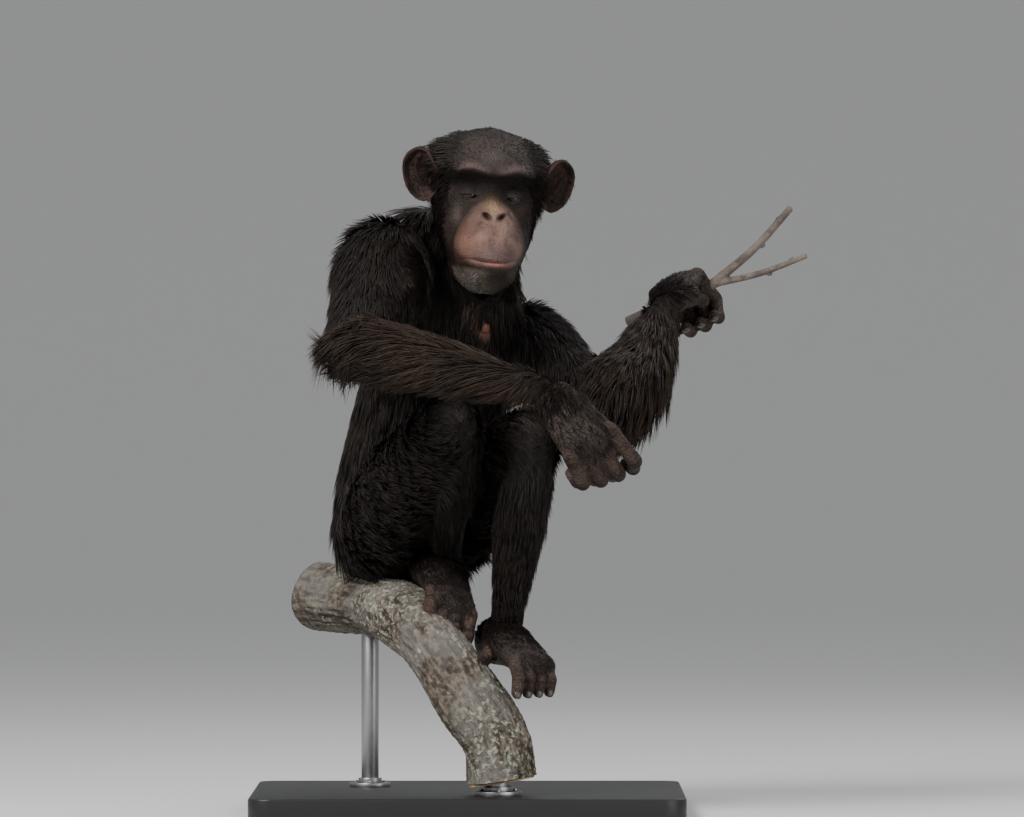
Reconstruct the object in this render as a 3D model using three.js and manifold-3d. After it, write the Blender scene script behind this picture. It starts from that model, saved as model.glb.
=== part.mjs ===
// A life-size chimpanzee, squatting on a bough with one arm over its knees and the other
// holding a forked branch. Millimetres, +Z up, the viewer looks along +Y.
// X and Z of the body are measured from the floor's middle and Y grows away from the viewer.
import * as THREE from "three";
import { mergeVertices } from "three/addons/utils/BufferGeometryUtils.js";
import Module from "manifold-3d";

const wasm = await Module();
wasm.setup();

// Gap that neighbouring pieces keep, and the room that the bent locks leave about them.
const GAP = 0.3;
const LOCK_ROOM = 0.9;
// Share of the coat's depth that the solid core takes, the locks reach the rest.
const CORE = 0.45;

// Bone lengths of the adult animal.
const PALM = 92;
const PHALANGES = [52, 34, 22];
const FINGER = 9.6;
const FINGER_STEP = 19.6;
const FINGER_LENGTHS = [0.94, 1, 0.96, 0.82];
const METATARSUS = 108;
const TOE_BONES = [32, 24];
const TOE = 8.6;
const TOE_STEP = 17.6;

// Depth of the coat on limbs and trunk, and how far its locks stand over the core.
const COAT = 16;
const LOCK_LIFT = COAT * (1 - CORE);

const v = (x, y, z) => new THREE.Vector3(x, y, z);
const rad = THREE.MathUtils.degToRad;

// Joints of the pose.
const J = {
  shoulderRight: v(-140, -8, 686),
  elbowRight: v(-178, -238, 582),
  wristRight: v(62, -262, 522),
  shoulderLeft: v(30, 140, 592),
  elbowLeft: v(130, -115, 514),
  wristLeft: v(214, 101, 638),
  hipRight: v(-148, 86, 350),
  kneeRight: v(-60, -160, 484),
  ankleRight: v(-70, 2, 322),
  hipLeft: v(-82, 122, 350),
  kneeLeft: v(38, -120, 468),
  ankleLeft: v(8, -58, 236),
  eyeLine: v(-9, -100, 768),
};

// The way that the trunk is turned, and where the animal's left side points.
const TURN = rad(41);
const LEFT = v(Math.cos(TURN), Math.sin(TURN), 0);

// Closed geometry to solid and back.
function toSolid(positions, indices) {
  const mesh = new wasm.Mesh({
    numProp: 3,
    vertProperties: new Float32Array(positions),
    triVerts: new Uint32Array(indices),
  });
  mesh.merge();
  const solid = new wasm.Manifold(mesh);
  return solid.volume() < 0 ? toSolid(positions, [...indices].reverse()) : solid;
}

function geometryToSolid(geometry) {
  const plain = geometry.clone();
  plain.deleteAttribute("normal");
  plain.deleteAttribute("uv");
  const merged = mergeVertices(plain, 1e-4);
  return toSolid(merged.attributes.position.array, merged.index.array);
}

function toGeometry(solid) {
  const mesh = solid.getMesh();
  const geometry = new THREE.BufferGeometry();
  geometry.setAttribute("position", new THREE.BufferAttribute(mesh.vertProperties, 3));
  geometry.setIndex(new THREE.BufferAttribute(mesh.triVerts, 1));
  geometry.computeVertexNormals();
  return geometry;
}

const join = (solids) => wasm.Manifold.union(solids);

// Repeatable random numbers from 0 to 1.
function seeded(seed) {
  let state = seed * 7919 + 17;
  return () => {
    state = (state * 1103515245 + 12345) % 2147483648;
    return state / 2147483648;
  };
}

// A flat, tapered lock on a surface: its root sunk in, its tip lifted free. The place function
// gives the point at a share of its length, a distance across and a height.
// A grown lock's thin edges and tip move out by these times its growth.
const EDGE_REACH = 3;
const TIP_REACH = 0.08;
const LOCK_STATIONS = [
  { share: 0, width: 0.72, edge: -8, ridge: -0.3 },
  { share: 0.5, width: 1, edge: -3.5, ridge: 0.8 },
];

function lock(place, width, lift, grow) {
  const positions = [];
  for (const station of LOCK_STATIONS) {
    const half = (width / 2) * station.width + EDGE_REACH * grow;
    positions.push(...place(station.share, -half, station.edge).toArray());
    positions.push(...place(station.share, half, station.edge).toArray());
    positions.push(...place(station.share, 0, station.ridge * lift + grow).toArray());
  }
  positions.push(...place(1 + TIP_REACH * grow, 0, lift + grow).toArray());
  const indices = [0, 2, 1];
  for (let i = 0; i < 3; i++) {
    const [a, b] = [i, (i + 1) % 3];
    indices.push(a, b, b + 3, a, b + 3, a + 3, a + 3, b + 3, 6);
  }
  return toSolid(positions, indices);
}

// Rows of locks over a sweep. Distances run along it, angles about it, and the direction says
// which way the tips point. Rows are staggered so that tips lie over the next row's roots.
function locksOn(sweep, options, grow) {
  const { from, to, rows, around, angles = [0, 360], direction, length, width, seed } = options;
  const lift = options.lift ?? LOCK_LIFT;
  const random = seeded(seed);
  const locks = [];
  for (let row = 0; row < rows; row++) {
    const distance = THREE.MathUtils.lerp(from, to, rows > 1 ? row / (rows - 1) : 0.5);
    for (let k = 0; k < around; k++) {
      const step = (angles[1] - angles[0]) / around;
      const angle = angles[0] + step * (k + 0.25 + 0.5 * (row % 2) + 0.3 * (random() - 0.5));
      const start = distance + 12 * (random() - 0.5);
      const reach = length * (0.88 + 0.24 * random());
      const twist = 0.35 * (random() - 0.5);
      const place = (share, across, height) => {
        const along = THREE.MathUtils.clamp(start + direction * reach * share, 4, sweep.length - 3);
        const { size } = sweep.frame(along);
        const radius = (size.x + size.y) / 2;
        return sweep.point(rad(angle) + twist * share + across / radius, along, height);
      };
      locks.push(lock(place, width * (0.92 + 0.16 * random()), lift, grow));
    }
  }
  return join(locks);
}

// A rounded body swept along stations with elliptic sections, each [half width, half depth].
// The width lies along the side direction, caps are the lengths of the round ends.
class Sweep {
  constructor({ path, sizes, side, caps, rings = 8, sides = 12, capRings = 2, shape = null,
    sheared = false, coat = 0 }) {
    this.curve = new THREE.CatmullRomCurve3(path, false, "centripetal");
    this.sizeCurve = new THREE.CatmullRomCurve3(
      sizes.map(([width, depth]) => v(width - coat, depth - coat, 0)), false, "centripetal");
    this.sideAxes = Array.isArray(side) ? side : [side, side];
    this.length = this.curve.getLength();
    const ends = [sizes[0], sizes[sizes.length - 1]];
    this.caps = caps ?? ends.map(([width, depth]) => (width + depth) / 2);
    this.rings = rings;
    this.sides = sides;
    this.capRings = capRings;
    this.shape = shape;
    this.sheared = sheared;
  }

  // Share of the full section left by the round ends at a distance along the path.
  roundness(distance, grow) {
    const [start, end] = this.caps;
    const fromStart = Math.min(1, (distance + grow) / (start + grow));
    const fromEnd = Math.min(1, (this.length + grow - distance) / (end + grow));
    return Math.sqrt(1 - (1 - fromStart) ** 2) * Math.sqrt(1 - (1 - fromEnd) ** 2);
  }

  frame(distance) {
    const u = THREE.MathUtils.clamp(distance / this.length, 0, 1);
    const t = this.curve.getUtoTmapping(u);
    const tangent = this.curve.getTangent(t);
    const side = this.sideAxes[0].clone().lerp(this.sideAxes[1], t);
    if (!this.sheared) {
      side.addScaledVector(tangent, -side.dot(tangent));
    }
    side.normalize();
    const depth = tangent.clone().cross(side).normalize();
    const centre = this.curve.getPoint(t);
    centre.addScaledVector(tangent, distance - u * this.length);
    const size = this.sizeCurve.getPoint(t);
    return { centre, tangent, side, depth, size, t };
  }

  // Point on the surface at an angle about the path, lifted by a distance.
  point(angle, distance, lift = 0) {
    const { centre, side, depth, size, t } = this.frame(distance);
    const scale = this.shape ? this.shape(angle, t) : 1;
    const round = Math.max(0.55, this.roundness(distance, 0));
    const x = (size.x * scale * round + lift) * Math.cos(angle);
    const y = (size.y * scale * round + lift) * Math.sin(angle);
    return centre.addScaledVector(side, x).addScaledVector(depth, y);
  }

  solid(grow = 0) {
    const stations = [];
    for (let k = 1; k <= this.capRings; k++) {
      stations.push(-grow + (this.caps[0] + grow) * (1 - Math.cos((k / this.capRings) * Math.PI / 2)));
    }
    const last = this.length - this.caps[1];
    const first = this.caps[0];
    for (let k = 1; k < this.rings; k++) {
      stations.push(first + (last - first) * (k / this.rings));
    }
    for (let k = this.capRings; k >= 1; k--) {
      const inset = (this.caps[1] + grow) * (1 - Math.cos((k / this.capRings) * Math.PI / 2));
      stations.push(this.length + grow - inset);
    }
    const positions = [];
    const indices = [];
    const n = this.sides;
    for (const distance of stations) {
      const { centre, side, depth, size, t } = this.frame(distance);
      const round = this.roundness(distance, grow);
      for (let i = 0; i < n; i++) {
        const angle = (2 * Math.PI * i) / n;
        const scale = this.shape ? this.shape(angle, t) : 1;
        const x = (size.x * scale + grow) * round * Math.cos(angle);
        const y = (size.y * scale + grow) * round * Math.sin(angle);
        const p = centre.clone().addScaledVector(side, x).addScaledVector(depth, y);
        positions.push(p.x, p.y, p.z);
      }
    }
    const ring = (j, i) => j * n + (i % n);
    for (let j = 0; j + 1 < stations.length; j++) {
      for (let i = 0; i < n; i++) {
        indices.push(ring(j, i), ring(j, i + 1), ring(j + 1, i + 1));
        indices.push(ring(j, i), ring(j + 1, i + 1), ring(j + 1, i));
      }
    }
    const ends = [this.frame(-grow).centre, this.frame(this.length + grow).centre];
    const top = stations.length - 1;
    const startTip = positions.length / 3;
    for (const p of ends) {
      positions.push(p.x, p.y, p.z);
    }
    for (let i = 0; i < n; i++) {
      indices.push(startTip, ring(0, i + 1), ring(0, i));
      indices.push(startTip + 1, ring(top, i), ring(top, i + 1));
    }
    return toSolid(positions, indices);
  }
}

// An ellipsoid with half sizes along three axes of its own.
function ellipsoid(centre, axes, halves, grow, [around, down] = [14, 10]) {
  const geometry = new THREE.SphereGeometry(1, around, down);
  const scaled = axes.map((axis, i) => axis.clone().multiplyScalar(halves[i] + grow));
  const matrix = new THREE.Matrix4().makeBasis(...scaled);
  matrix.setPosition(centre);
  geometry.applyMatrix4(matrix);
  return geometryToSolid(geometry);
}

// The head's own frame: x to the animal's left, y backwards, z up, origin between the eyes.
const headTurn = new THREE.Euler(rad(4), rad(5), rad(8), "ZYX");
const headMatrix = new THREE.Matrix4().makeRotationFromEuler(headTurn).setPosition(J.eyeLine);
const onHead = (x, forward, z) => v(x, -forward, z).applyMatrix4(headMatrix);
const headAxis = (x, forward, z) => v(x, -forward, z).transformDirection(headMatrix);
const HEAD_AXES = [headAxis(1, 0, 0), headAxis(0, 0, 1), headAxis(0, 1, 0)];
const EYE = { radius: 12, apart: 27, forward: -13 };
const LID = 2.4;

// Smooth hill of height one about a centre.
const hill = (value, centre, spread) => Math.exp(-(((value - centre) / spread) ** 2));

// Smooth value between named levels, each { z, ...values }.
function level(levels, key, z) {
  const last = levels.length - 1;
  if (z <= levels[0].z) return levels[0][key];
  if (z >= levels[last].z) return levels[last][key];
  const k = levels.findIndex((item) => item.z > z) - 1;
  const slope = (j) => {
    const [a, b] = [levels[Math.max(0, j - 1)], levels[Math.min(last, j + 1)]];
    return (b[key] - a[key]) / (b.z - a.z);
  };
  const step = levels[k + 1].z - levels[k].z;
  const s = (z - levels[k].z) / step;
  return levels[k][key] * (1 + 2 * s) * (1 - s) ** 2 + slope(k) * step * s * (1 - s) ** 2
    + levels[k + 1][key] * s * s * (3 - 2 * s) + slope(k + 1) * step * s * s * (s - 1);
}

// Skull and jaw in level sections: back, front and half width, thin hair included.
const SKULL = [
  { z: -122, back: -44, front: 6, half: 16 },
  { z: -112, back: -62, front: 16, half: 38 },
  { z: -80, back: -88, front: 14, half: 56 },
  { z: -36, back: -110, front: 6, half: 68 },
  { z: 8, back: -128, front: -2, half: 71 },
  { z: 40, back: -130, front: 2, half: 70 },
  { z: 64, back: -116, front: -18, half: 60 },
  { z: 78, back: -96, front: -42, half: 40 },
  { z: 83, back: -84, front: -58, half: 20 },
];
// Muzzle: how far its midline stands forward at each level, and its half width.
const MUZZLE = [
  { z: -122, reach: 14, half: 24 },
  { z: -112, reach: 36, half: 31 },
  { z: -98, reach: 54, half: 37 },
  { z: -84, reach: 60, half: 42 },
  { z: -70, reach: 65, half: 45 },
  { z: -48, reach: 56, half: 42 },
  { z: -30, reach: 42, half: 33 },
  { z: -14, reach: 22, half: 24 },
  { z: 8, reach: 6, half: 18 },
  { z: 26, reach: 0, half: 16 },
];

// How far forward the face lies at a place across and up.
function faceForward(x, z) {
  const front = level(SKULL, "front", z);
  const back = level(SKULL, "back", z);
  const half = level(SKULL, "half", z);
  const middle = (front + back) / 2;
  const around = Math.sqrt(Math.max(0, 1 - (x / half) ** 2));
  let forward = middle + (front - middle) * around;
  const reach = z > 26 ? 0 : Math.max(0, level(MUZZLE, "reach", z) - front);
  const across = Math.abs(x) / level(MUZZLE, "half", z);
  forward += reach / (1 + across ** 4.5);
  const browLine = 35 + 6 * hill(Math.abs(x), 30, 16);
  const browEnd = 1 - THREE.MathUtils.smoothstep(Math.abs(x), 42, 66);
  forward += 12 * hill(z, browLine, 10) * browEnd;
  forward += 5 * hill(z, 56, 14) * hill(x, 0, 30);
  for (const sign of [-1, 1]) {
    forward -= 13 * hill(x, sign * EYE.apart, 16) * hill(z, 6, 15);
    forward += 7 * hill(x, sign * 47, 13) * hill(z, -16, 15);
    forward += 3 * hill(x, sign * 11, 6) * hill(z, -25, 6);
  }
  forward += 5 * hill(x, 0, 15) * hill(z, -22, 9);
  forward += 3.5 * hill(z, -87, 4.5) * hill(x, 0, 26);
  return forward;
}

// Head surface: level rings with their points closer together over the face.
function headShell(grow) {
  const levels = [];
  for (let z = -121; z < -66; z += 8) levels.push(z);
  for (let z = -64; z < 12; z += 9) levels.push(z);
  for (let z = 17; z < 56; z += 6.5) levels.push(z);
  levels.push(62, 70, 77, 82);
  const around = 24;
  const positions = [];
  for (const z of levels) {
    const half = level(SKULL, "half", z);
    const back = level(SKULL, "back", z);
    const front = level(SKULL, "front", z);
    for (let i = 0; i < around; i++) {
      const s = (2 * i) / around - 1;
      const angle = Math.PI * (0.6 * s + 0.4 * s ** 3);
      const x = half * Math.sin(angle);
      const middle = (front + back) / 2;
      const level0 = middle + (front - middle) * Math.cos(angle);
      const faceShare = THREE.MathUtils.smoothstep(Math.cos(angle), 0, 0.25);
      const y = level0 + (faceForward(x, z) - level0) * faceShare;
      const p = onHead(x * (1 + grow / half), y + grow * Math.cos(angle), z);
      positions.push(p.x, p.y, p.z);
    }
  }
  const indices = [];
  const ring = (j, i) => j * around + (i % around);
  for (let j = 0; j + 1 < levels.length; j++) {
    for (let i = 0; i < around; i++) {
      indices.push(ring(j, i), ring(j + 1, i + 1), ring(j + 1, i));
      indices.push(ring(j, i), ring(j, i + 1), ring(j + 1, i + 1));
    }
  }
  const top = levels.length - 1;
  const ends = [onHead(0, -18, levels[0] - 3 - grow), onHead(0, -71, levels[top] + 2 + grow)];
  const tip = positions.length / 3;
  for (const p of ends) positions.push(p.x, p.y, p.z);
  for (let i = 0; i < around; i++) {
    indices.push(tip, ring(0, i + 1), ring(0, i));
    indices.push(tip + 1, ring(top, i), ring(top, i + 1));
  }
  return toSolid(positions, indices);
}

function eyeBall(sign, grow) {
  const centre = onHead(sign * EYE.apart, EYE.forward, 0);
  const radius = EYE.radius;
  return ellipsoid(centre, HEAD_AXES, [radius, radius, radius], grow, [10, 7]);
}

// Upper and lower lid: a shell round the ball with a slit across its front.
function eyelids(sign) {
  const centre = onHead(sign * EYE.apart, EYE.forward, 0);
  const outside = EYE.radius + LID;
  const shell = ellipsoid(centre, HEAD_AXES, [outside + 4, outside + 1, outside], 0, [12, 8]);
  const slit = ellipsoid(
    onHead(sign * EYE.apart, EYE.forward + 14, -1), HEAD_AXES, [11.5, 4.4, 10], 0, [10, 5]);
  return shell.subtract(slit);
}

// The closed mouth's line, a thin cut bent round the muzzle.
function mouthLine() {
  const path = [];
  for (let k = -4; k <= 4; k++) {
    const x = 10.5 * k;
    const z = -80 + 3.5 * (Math.abs(k) / 4) ** 2;
    path.push(onHead(x, faceForward(x, z) - 1, z));
  }
  const line = new Sweep({
    path, sizes: path.map(() => [1.2, 6]), side: HEAD_AXES[1], caps: [4, 4],
    rings: 9, sides: 6, capRings: 1,
  });
  return line.solid();
}

function nostril(sign) {
  const x = sign * 9.5;
  const z = -28;
  return ellipsoid(
    onHead(x, faceForward(x, z) - 1, z),
    [headAxis(1, 0, sign * -0.45), headAxis(sign * 0.45, 0, 1), HEAD_AXES[2]],
    [6.2, 4, 9], 0, [8, 6]);
}

// Locks on the back and sides of the head, their tips down over the neck.
function headLocks(grow) {
  const random = seeded(2);
  const locks = [];
  for (const [row, top] of [56, 2].entries()) {
    for (let k = 0; k < 6; k++) {
      const start = rad(97 + 33 * k + 8 * row + 10 * random());
      const length = 62 + 14 * random();
      const place = (share, across, height) => {
        const z = top - length * share;
        const angle = start + across / level(SKULL, "half", z);
        const [front, back] = [level(SKULL, "front", z), level(SKULL, "back", z)];
        return onHead((level(SKULL, "half", z) + height) * Math.sin(angle),
          (front + back) / 2 + ((front - back) / 2 + height) * Math.cos(angle), z);
      };
      locks.push(lock(place, 52, 8, grow));
    }
  }
  return join(locks);
}

function headCore(grow) {
  const shell = headShell(grow);
  if (grow > 0) {
    return shell;
  }
  const lids = join([eyelids(-1), eyelids(1)]);
  return shell.add(lids).subtract(join([mouthLine(), nostril(-1), nostril(1)]));
}

// Ear: an oval dish with a thick rim, its hollow towards the front.
const EAR = { half: 34, width: 23, thick: 8, cup: 9, rim: 5.5 };

function ear(sign, grow) {
  const centre = onHead(sign * 84, -52, 19);
  const out = headAxis(sign * 0.86, -0.5, 0);
  const up = headAxis(sign * 0.12, 0, 1);
  const face = out.clone().cross(up).multiplyScalar(sign).normalize();
  const frame = [out, up, out.clone().cross(up)];
  const shell = ellipsoid(centre, frame, [EAR.width, EAR.half, EAR.thick], grow, [12, 8]);
  if (grow > 0) {
    return shell;
  }
  const hollow = centre.clone().addScaledVector(face, EAR.thick);
  const cup = ellipsoid(
    hollow, frame, [EAR.width - EAR.rim, EAR.half - EAR.rim, EAR.cup], 0, [10, 7]);
  return shell.subtract(cup);
}

// Trunk from rump to the root of the neck.
const torso = new Sweep({
  path: [v(-130, 112, 292), v(-124, 112, 352), v(-112, 110, 428), v(-90, 98, 508), v(-68, 80, 584),
    v(-56, 66, 656), v(-56, 54, 744)],
  sizes: [[84, 78], [104, 90], [102, 96], [108, 94], [118, 92], [118, 84], [84, 58]],
  side: [LEFT, LEFT.clone().add(v(0, 0, -0.52))],
  caps: [46, 36], rings: 7, sides: 12, capRings: 2, sheared: true, coat: LOCK_LIFT,
});

const neck = new Sweep({
  path: [v(-50, 62, 668), v(-38, 22, 706), v(-22, -34, 742)],
  sizes: [[84, 62], [72, 60], [58, 58]],
  side: v(1, 0, -0.25), caps: [30, 30], rings: 2, sides: 10, capRings: 1, coat: LOCK_LIFT,
});

// A limb's segment between two joints; sizes are given at even steps, coat included.
function segment(from, to, sizes, side, options) {
  const bend = options.bend ?? v(0, 0, 0);
  const middle = from.clone().lerp(to, 0.5).add(bend);
  const path = [from, from.clone().lerp(middle, 0.5), middle, middle.clone().lerp(to, 0.5), to];
  return new Sweep({
    path, sizes, side, caps: options.caps, shape: options.shape, coat: LOCK_LIFT,
    rings: 4, sides: 9, capRings: 2,
  });
}

const extend = (from, to, distance) => {
  const reach = to.clone().sub(from).normalize();
  return to.clone().addScaledVector(reach, distance);
};

const limbs = {
  upper_arm_right: segment(
    extend(J.elbowRight, J.shoulderRight, 52), extend(J.shoulderRight, J.elbowRight, 26),
    [[64, 62], [72, 70], [62, 60], [52, 50], [42, 44]], v(1, 0, 0), { caps: [46, 30] }),
  forearm_right: segment(
    extend(J.wristRight, J.elbowRight, 34), extend(J.elbowRight, J.wristRight, 4),
    [[42, 42], [47, 48], [44, 46], [37, 37], [30, 27]], v(0, 0, 1), { caps: [34, 12] }),
  upper_arm_left: segment(
    extend(J.elbowLeft, J.shoulderLeft, 44), extend(J.shoulderLeft, J.elbowLeft, 26),
    [[52, 52], [60, 60], [52, 52], [44, 46], [40, 42]], v(1, 0, 0), { caps: [44, 30] }),
  forearm_left: segment(
    extend(J.wristLeft, J.elbowLeft, 36), extend(J.elbowLeft, J.wristLeft, 4),
    [[42, 46], [48, 56], [44, 52], [36, 42], [27, 29]], v(0.6, 0, 0.6),
    { caps: [36, 12], bend: v(8, 0, -10), shape: (angle) => 1 + 0.3 * hill(angle, rad(95), 0.7) }),
  thigh_right: segment(
    extend(J.kneeRight, J.hipRight, 40), extend(J.hipRight, J.kneeRight, 30),
    [[66, 70], [76, 80], [70, 74], [58, 62], [46, 50]], v(1, 0, 0), { caps: [50, 36] }),
  thigh_left: segment(
    extend(J.kneeLeft, J.hipLeft, 40), extend(J.hipLeft, J.kneeLeft, 30),
    [[62, 66], [70, 76], [66, 70], [56, 60], [46, 50]], v(0.8, 0.4, 0), { caps: [50, 36] }),
  shin_right: segment(
    extend(J.ankleRight, J.kneeRight, 22), extend(J.kneeRight, J.ankleRight, 4),
    [[42, 44], [46, 52], [44, 50], [34, 36], [27, 29]], v(1, 0, 0), { caps: [36, 12] }),
  shin_left: segment(
    extend(J.ankleLeft, J.kneeLeft, 22), extend(J.kneeLeft, J.ankleLeft, 4),
    [[42, 44], [46, 52], [44, 50], [34, 38], [27, 30]], v(1, 0, 0), { caps: [36, 12] }),
};

// A digit: one tube along its bones, with two rings at each bend and a round tip.
function digit(base, forward, palmSide, bones, curls, radius, grow) {
  const sides = 6;
  const across = forward.clone().cross(palmSide).normalize();
  const heading = (angle) => forward.clone().multiplyScalar(Math.cos(angle))
    .addScaledVector(palmSide, Math.sin(angle));
  const rings = [];
  const addRing = (centre, angle, size) => rings.push({ centre, angle, size: size + grow });
  addRing(base.clone().addScaledVector(forward, -radius), 0, radius * 0.8);
  let joint = base.clone();
  let angle = 0;
  bones.forEach((bone, k) => {
    const bend = rad(curls[k]);
    const thick = radius * (1 - 0.08 * k);
    const step = thick * Math.tan(Math.abs(bend) / 4) + 0.8;
    addRing(joint.clone().addScaledVector(heading(angle), -step), angle + bend / 4, thick);
    angle += bend;
    addRing(joint.clone().addScaledVector(heading(angle), step), angle - bend / 4, thick);
    joint = joint.clone().addScaledVector(heading(angle), bone);
  });
  const tip = radius * 0.8;
  addRing(joint.clone().addScaledVector(heading(angle), -tip * 0.5), angle, tip);
  addRing(joint.clone().addScaledVector(heading(angle), tip * 0.25), angle, tip * 0.7);
  const end = joint.clone().addScaledVector(heading(angle), tip * 0.55 + grow);
  const positions = [];
  for (const { centre, angle: turn, size } of rings) {
    const inward = heading(turn + Math.PI / 2);
    for (let i = 0; i < sides; i++) {
      const a = (2 * Math.PI * i) / sides;
      const p = centre.clone().addScaledVector(across, -size * Math.cos(a));
      p.addScaledVector(inward, size * Math.sin(a));
      positions.push(p.x, p.y, p.z);
    }
  }
  const indices = [];
  const ring = (j, i) => j * sides + (i % sides);
  for (let j = 0; j + 1 < rings.length; j++) {
    for (let i = 0; i < sides; i++) {
      indices.push(ring(j, i), ring(j, i + 1), ring(j + 1, i + 1));
      indices.push(ring(j, i), ring(j + 1, i + 1), ring(j + 1, i));
    }
  }
  const first = positions.length / 3;
  const last = rings.length - 1;
  positions.push(...rings[0].centre.toArray(), ...end.toArray());
  for (let i = 0; i < sides; i++) {
    indices.push(first, ring(0, i + 1), ring(0, i));
    indices.push(first + 1, ring(last, i), ring(last, i + 1));
  }
  return toSolid(positions, indices);
}

// A hand: palm sweep from the wrist, four fingers and a short thumb.
function hand({ wrist, forward, palmSide, thumbSide, curls, splay, thumb }, grow) {
  const along = forward.clone().normalize();
  const palm = palmSide.clone().addScaledVector(along, -palmSide.dot(along)).normalize();
  const across = along.clone().cross(palm).normalize();
  const thumbward = across.clone().multiplyScalar(Math.sign(thumbSide.dot(across)));
  const at = (forwards, sideways, inwards) => wrist.clone().addScaledVector(along, forwards)
    .addScaledVector(thumbward, sideways).addScaledVector(palm, inwards);
  const body = new Sweep({
    path: [at(0, 0, 0), at(PALM * 0.35, 0, 1), at(PALM * 0.75, 0, 0), at(PALM, 0, 2)],
    sizes: [[25, 20], [32, 21], [37, 17], [34, 14]],
    side: across, caps: [8, 12], rings: 3, sides: 10, capRings: 1,
  });
  const pieces = [body.solid(grow)];
  for (let k = 0; k < 4; k++) {
    const base = at(PALM - 6 - 3 * Math.abs(k - 1), (1.5 - k) * FINGER_STEP, 0);
    const bones = PHALANGES.map((bone) => bone * FINGER_LENGTHS[k]);
    const turn = rad(splay[k]);
    const reach = along.clone().multiplyScalar(Math.cos(turn));
    reach.addScaledVector(thumbward, Math.sin(turn));
    pieces.push(digit(base, reach, palm, bones, curls[k], FINGER, grow));
  }
  const away = along.clone().multiplyScalar(thumb.forward);
  away.addScaledVector(thumbward, thumb.outward).addScaledVector(palm, thumb.inward).normalize();
  const bend = along.clone().multiplyScalar(thumb.bendForward).addScaledVector(thumbward, -thumb.bendAcross);
  bend.addScaledVector(away, -bend.dot(away)).normalize();
  pieces.push(digit(at(PALM * 0.36, 17, 6), away, bend, [36, 26], thumb.curls, FINGER, grow));
  return join(pieces);
}

// A foot: heel and instep sweep, four toes and a grasping big toe.
function foot({ ankle, forward, sole, bigToeSide, curls, bigToe }, grow) {
  const along = forward.clone().normalize();
  const down = sole.clone().addScaledVector(along, -sole.dot(along)).normalize();
  const across = along.clone().cross(down).normalize();
  const inward = across.clone().multiplyScalar(Math.sign(bigToeSide.dot(across)));
  const at = (forwards, sideways, below) => ankle.clone().addScaledVector(along, forwards)
    .addScaledVector(inward, sideways).addScaledVector(down, below);
  const body = new Sweep({
    path: [at(-46, 0, 34), at(-14, 0, 24), at(32, 0, 26), at(76, -4, 34), at(METATARSUS, -6, 38)],
    sizes: [[22, 22], [27, 30], [32, 25], [36, 18], [32, 13]],
    side: across, caps: [18, 12], rings: 4, sides: 10, capRings: 1,
  });
  const pieces = [body.solid(grow)];
  for (let k = 0; k < 4; k++) {
    const base = at(METATARSUS - 8 - 6 * k, (1.5 - k) * TOE_STEP - 6, 38);
    const bones = TOE_BONES.map((bone) => bone * (1 - 0.08 * k));
    pieces.push(digit(base, along, down, bones, curls, TOE, grow));
  }
  const away = along.clone().multiplyScalar(bigToe.forward).addScaledVector(inward, bigToe.inward);
  away.addScaledVector(down, bigToe.down).normalize();
  const bend = down.clone().addScaledVector(inward, bigToe.hook);
  bend.addScaledVector(away, -bend.dot(away)).normalize();
  pieces.push(digit(at(30, 20, 34), away, bend, [40, 30], bigToe.curls, TOE * 1.2, grow));
  return join(pieces);
}

const extremities = {
  hand_right: (grow) => hand({
    wrist: J.wristRight, forward: v(0.6, -0.3, -0.74), palmSide: v(0, 1, -0.35),
    thumbSide: v(0.7, 0, 0.6), splay: [8, 2, -1, -4],
    curls: [[34, 60, 50], [46, 66, 55], [50, 66, 55], [52, 66, 50]],
    thumb: { forward: 0.75, outward: 0.1, inward: 0.6, bendForward: 0.4, bendAcross: 1, curls: [8, 35] },
  }, grow),
  hand_left: (grow) => hand({
    wrist: J.wristLeft, forward: v(0.14, 0.95, 0.3), palmSide: v(0.45, 0.15, -0.88),
    thumbSide: v(0.88, -0.26, 0.4), splay: [2, 0, -1, -3],
    curls: [[62, 84, 62], [66, 86, 62], [68, 86, 62], [68, 84, 60]],
    thumb: { forward: 0.62, outward: 0.3, inward: 0.72, bendForward: 1, bendAcross: 0.2, curls: [10, 50] },
  }, grow),
  foot_right: (grow) => foot({
    ankle: J.ankleRight, forward: v(0.36, -0.86, -0.34), sole: v(-0.3, -0.3, -1),
    bigToeSide: v(1, 0, 0), curls: [48, 34],
    bigToe: { forward: 0.5, inward: 0.55, down: 0.66, hook: -0.6, curls: [10, 40] },
  }, grow),
  foot_left: (grow) => foot({
    ankle: J.ankleLeft, forward: v(0.36, -0.9, -0.1), sole: v(-0.2, -0.1, -1),
    bigToeSide: v(-1, 0, 0), curls: [34, 36],
    bigToe: { forward: 0.55, inward: 0.72, down: 0.4, hook: -0.2, curls: [10, 36] },
  }, grow),
};

// The cut length of bough that the animal squats on.
const BOUGH = 42;
const bough = new Sweep({
  path: [v(-232, 228, 262), v(-160, 98, 256), v(-130, 10, 248), v(-100, -55, 230), v(-66, -96, 189),
    v(-36, -116, 142), v(-6, -122, 92), v(2, -122, 42)],
  sizes: [[44, 44], [42, 42], [42, 42], [41, 41], [41, 41], [43, 42], [42, 42], [46, 46]],
  side: v(0.6, 0, 0.8), caps: [2, 2], rings: 14, sides: 12, capRings: 1,
  shape: (angle, t) => 1 + 0.04 * Math.sin(3 * angle + 9 * t) + 0.03 * Math.sin(2 * angle - 14 * t),
});

// The thin forked branch in the left fist.
const GRIP = v(237, 195, 648);
const BRANCH_REACH = v(0.88, -0.26, 0.4).normalize();
const FORK = GRIP.clone().addScaledVector(BRANCH_REACH, 44);

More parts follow.
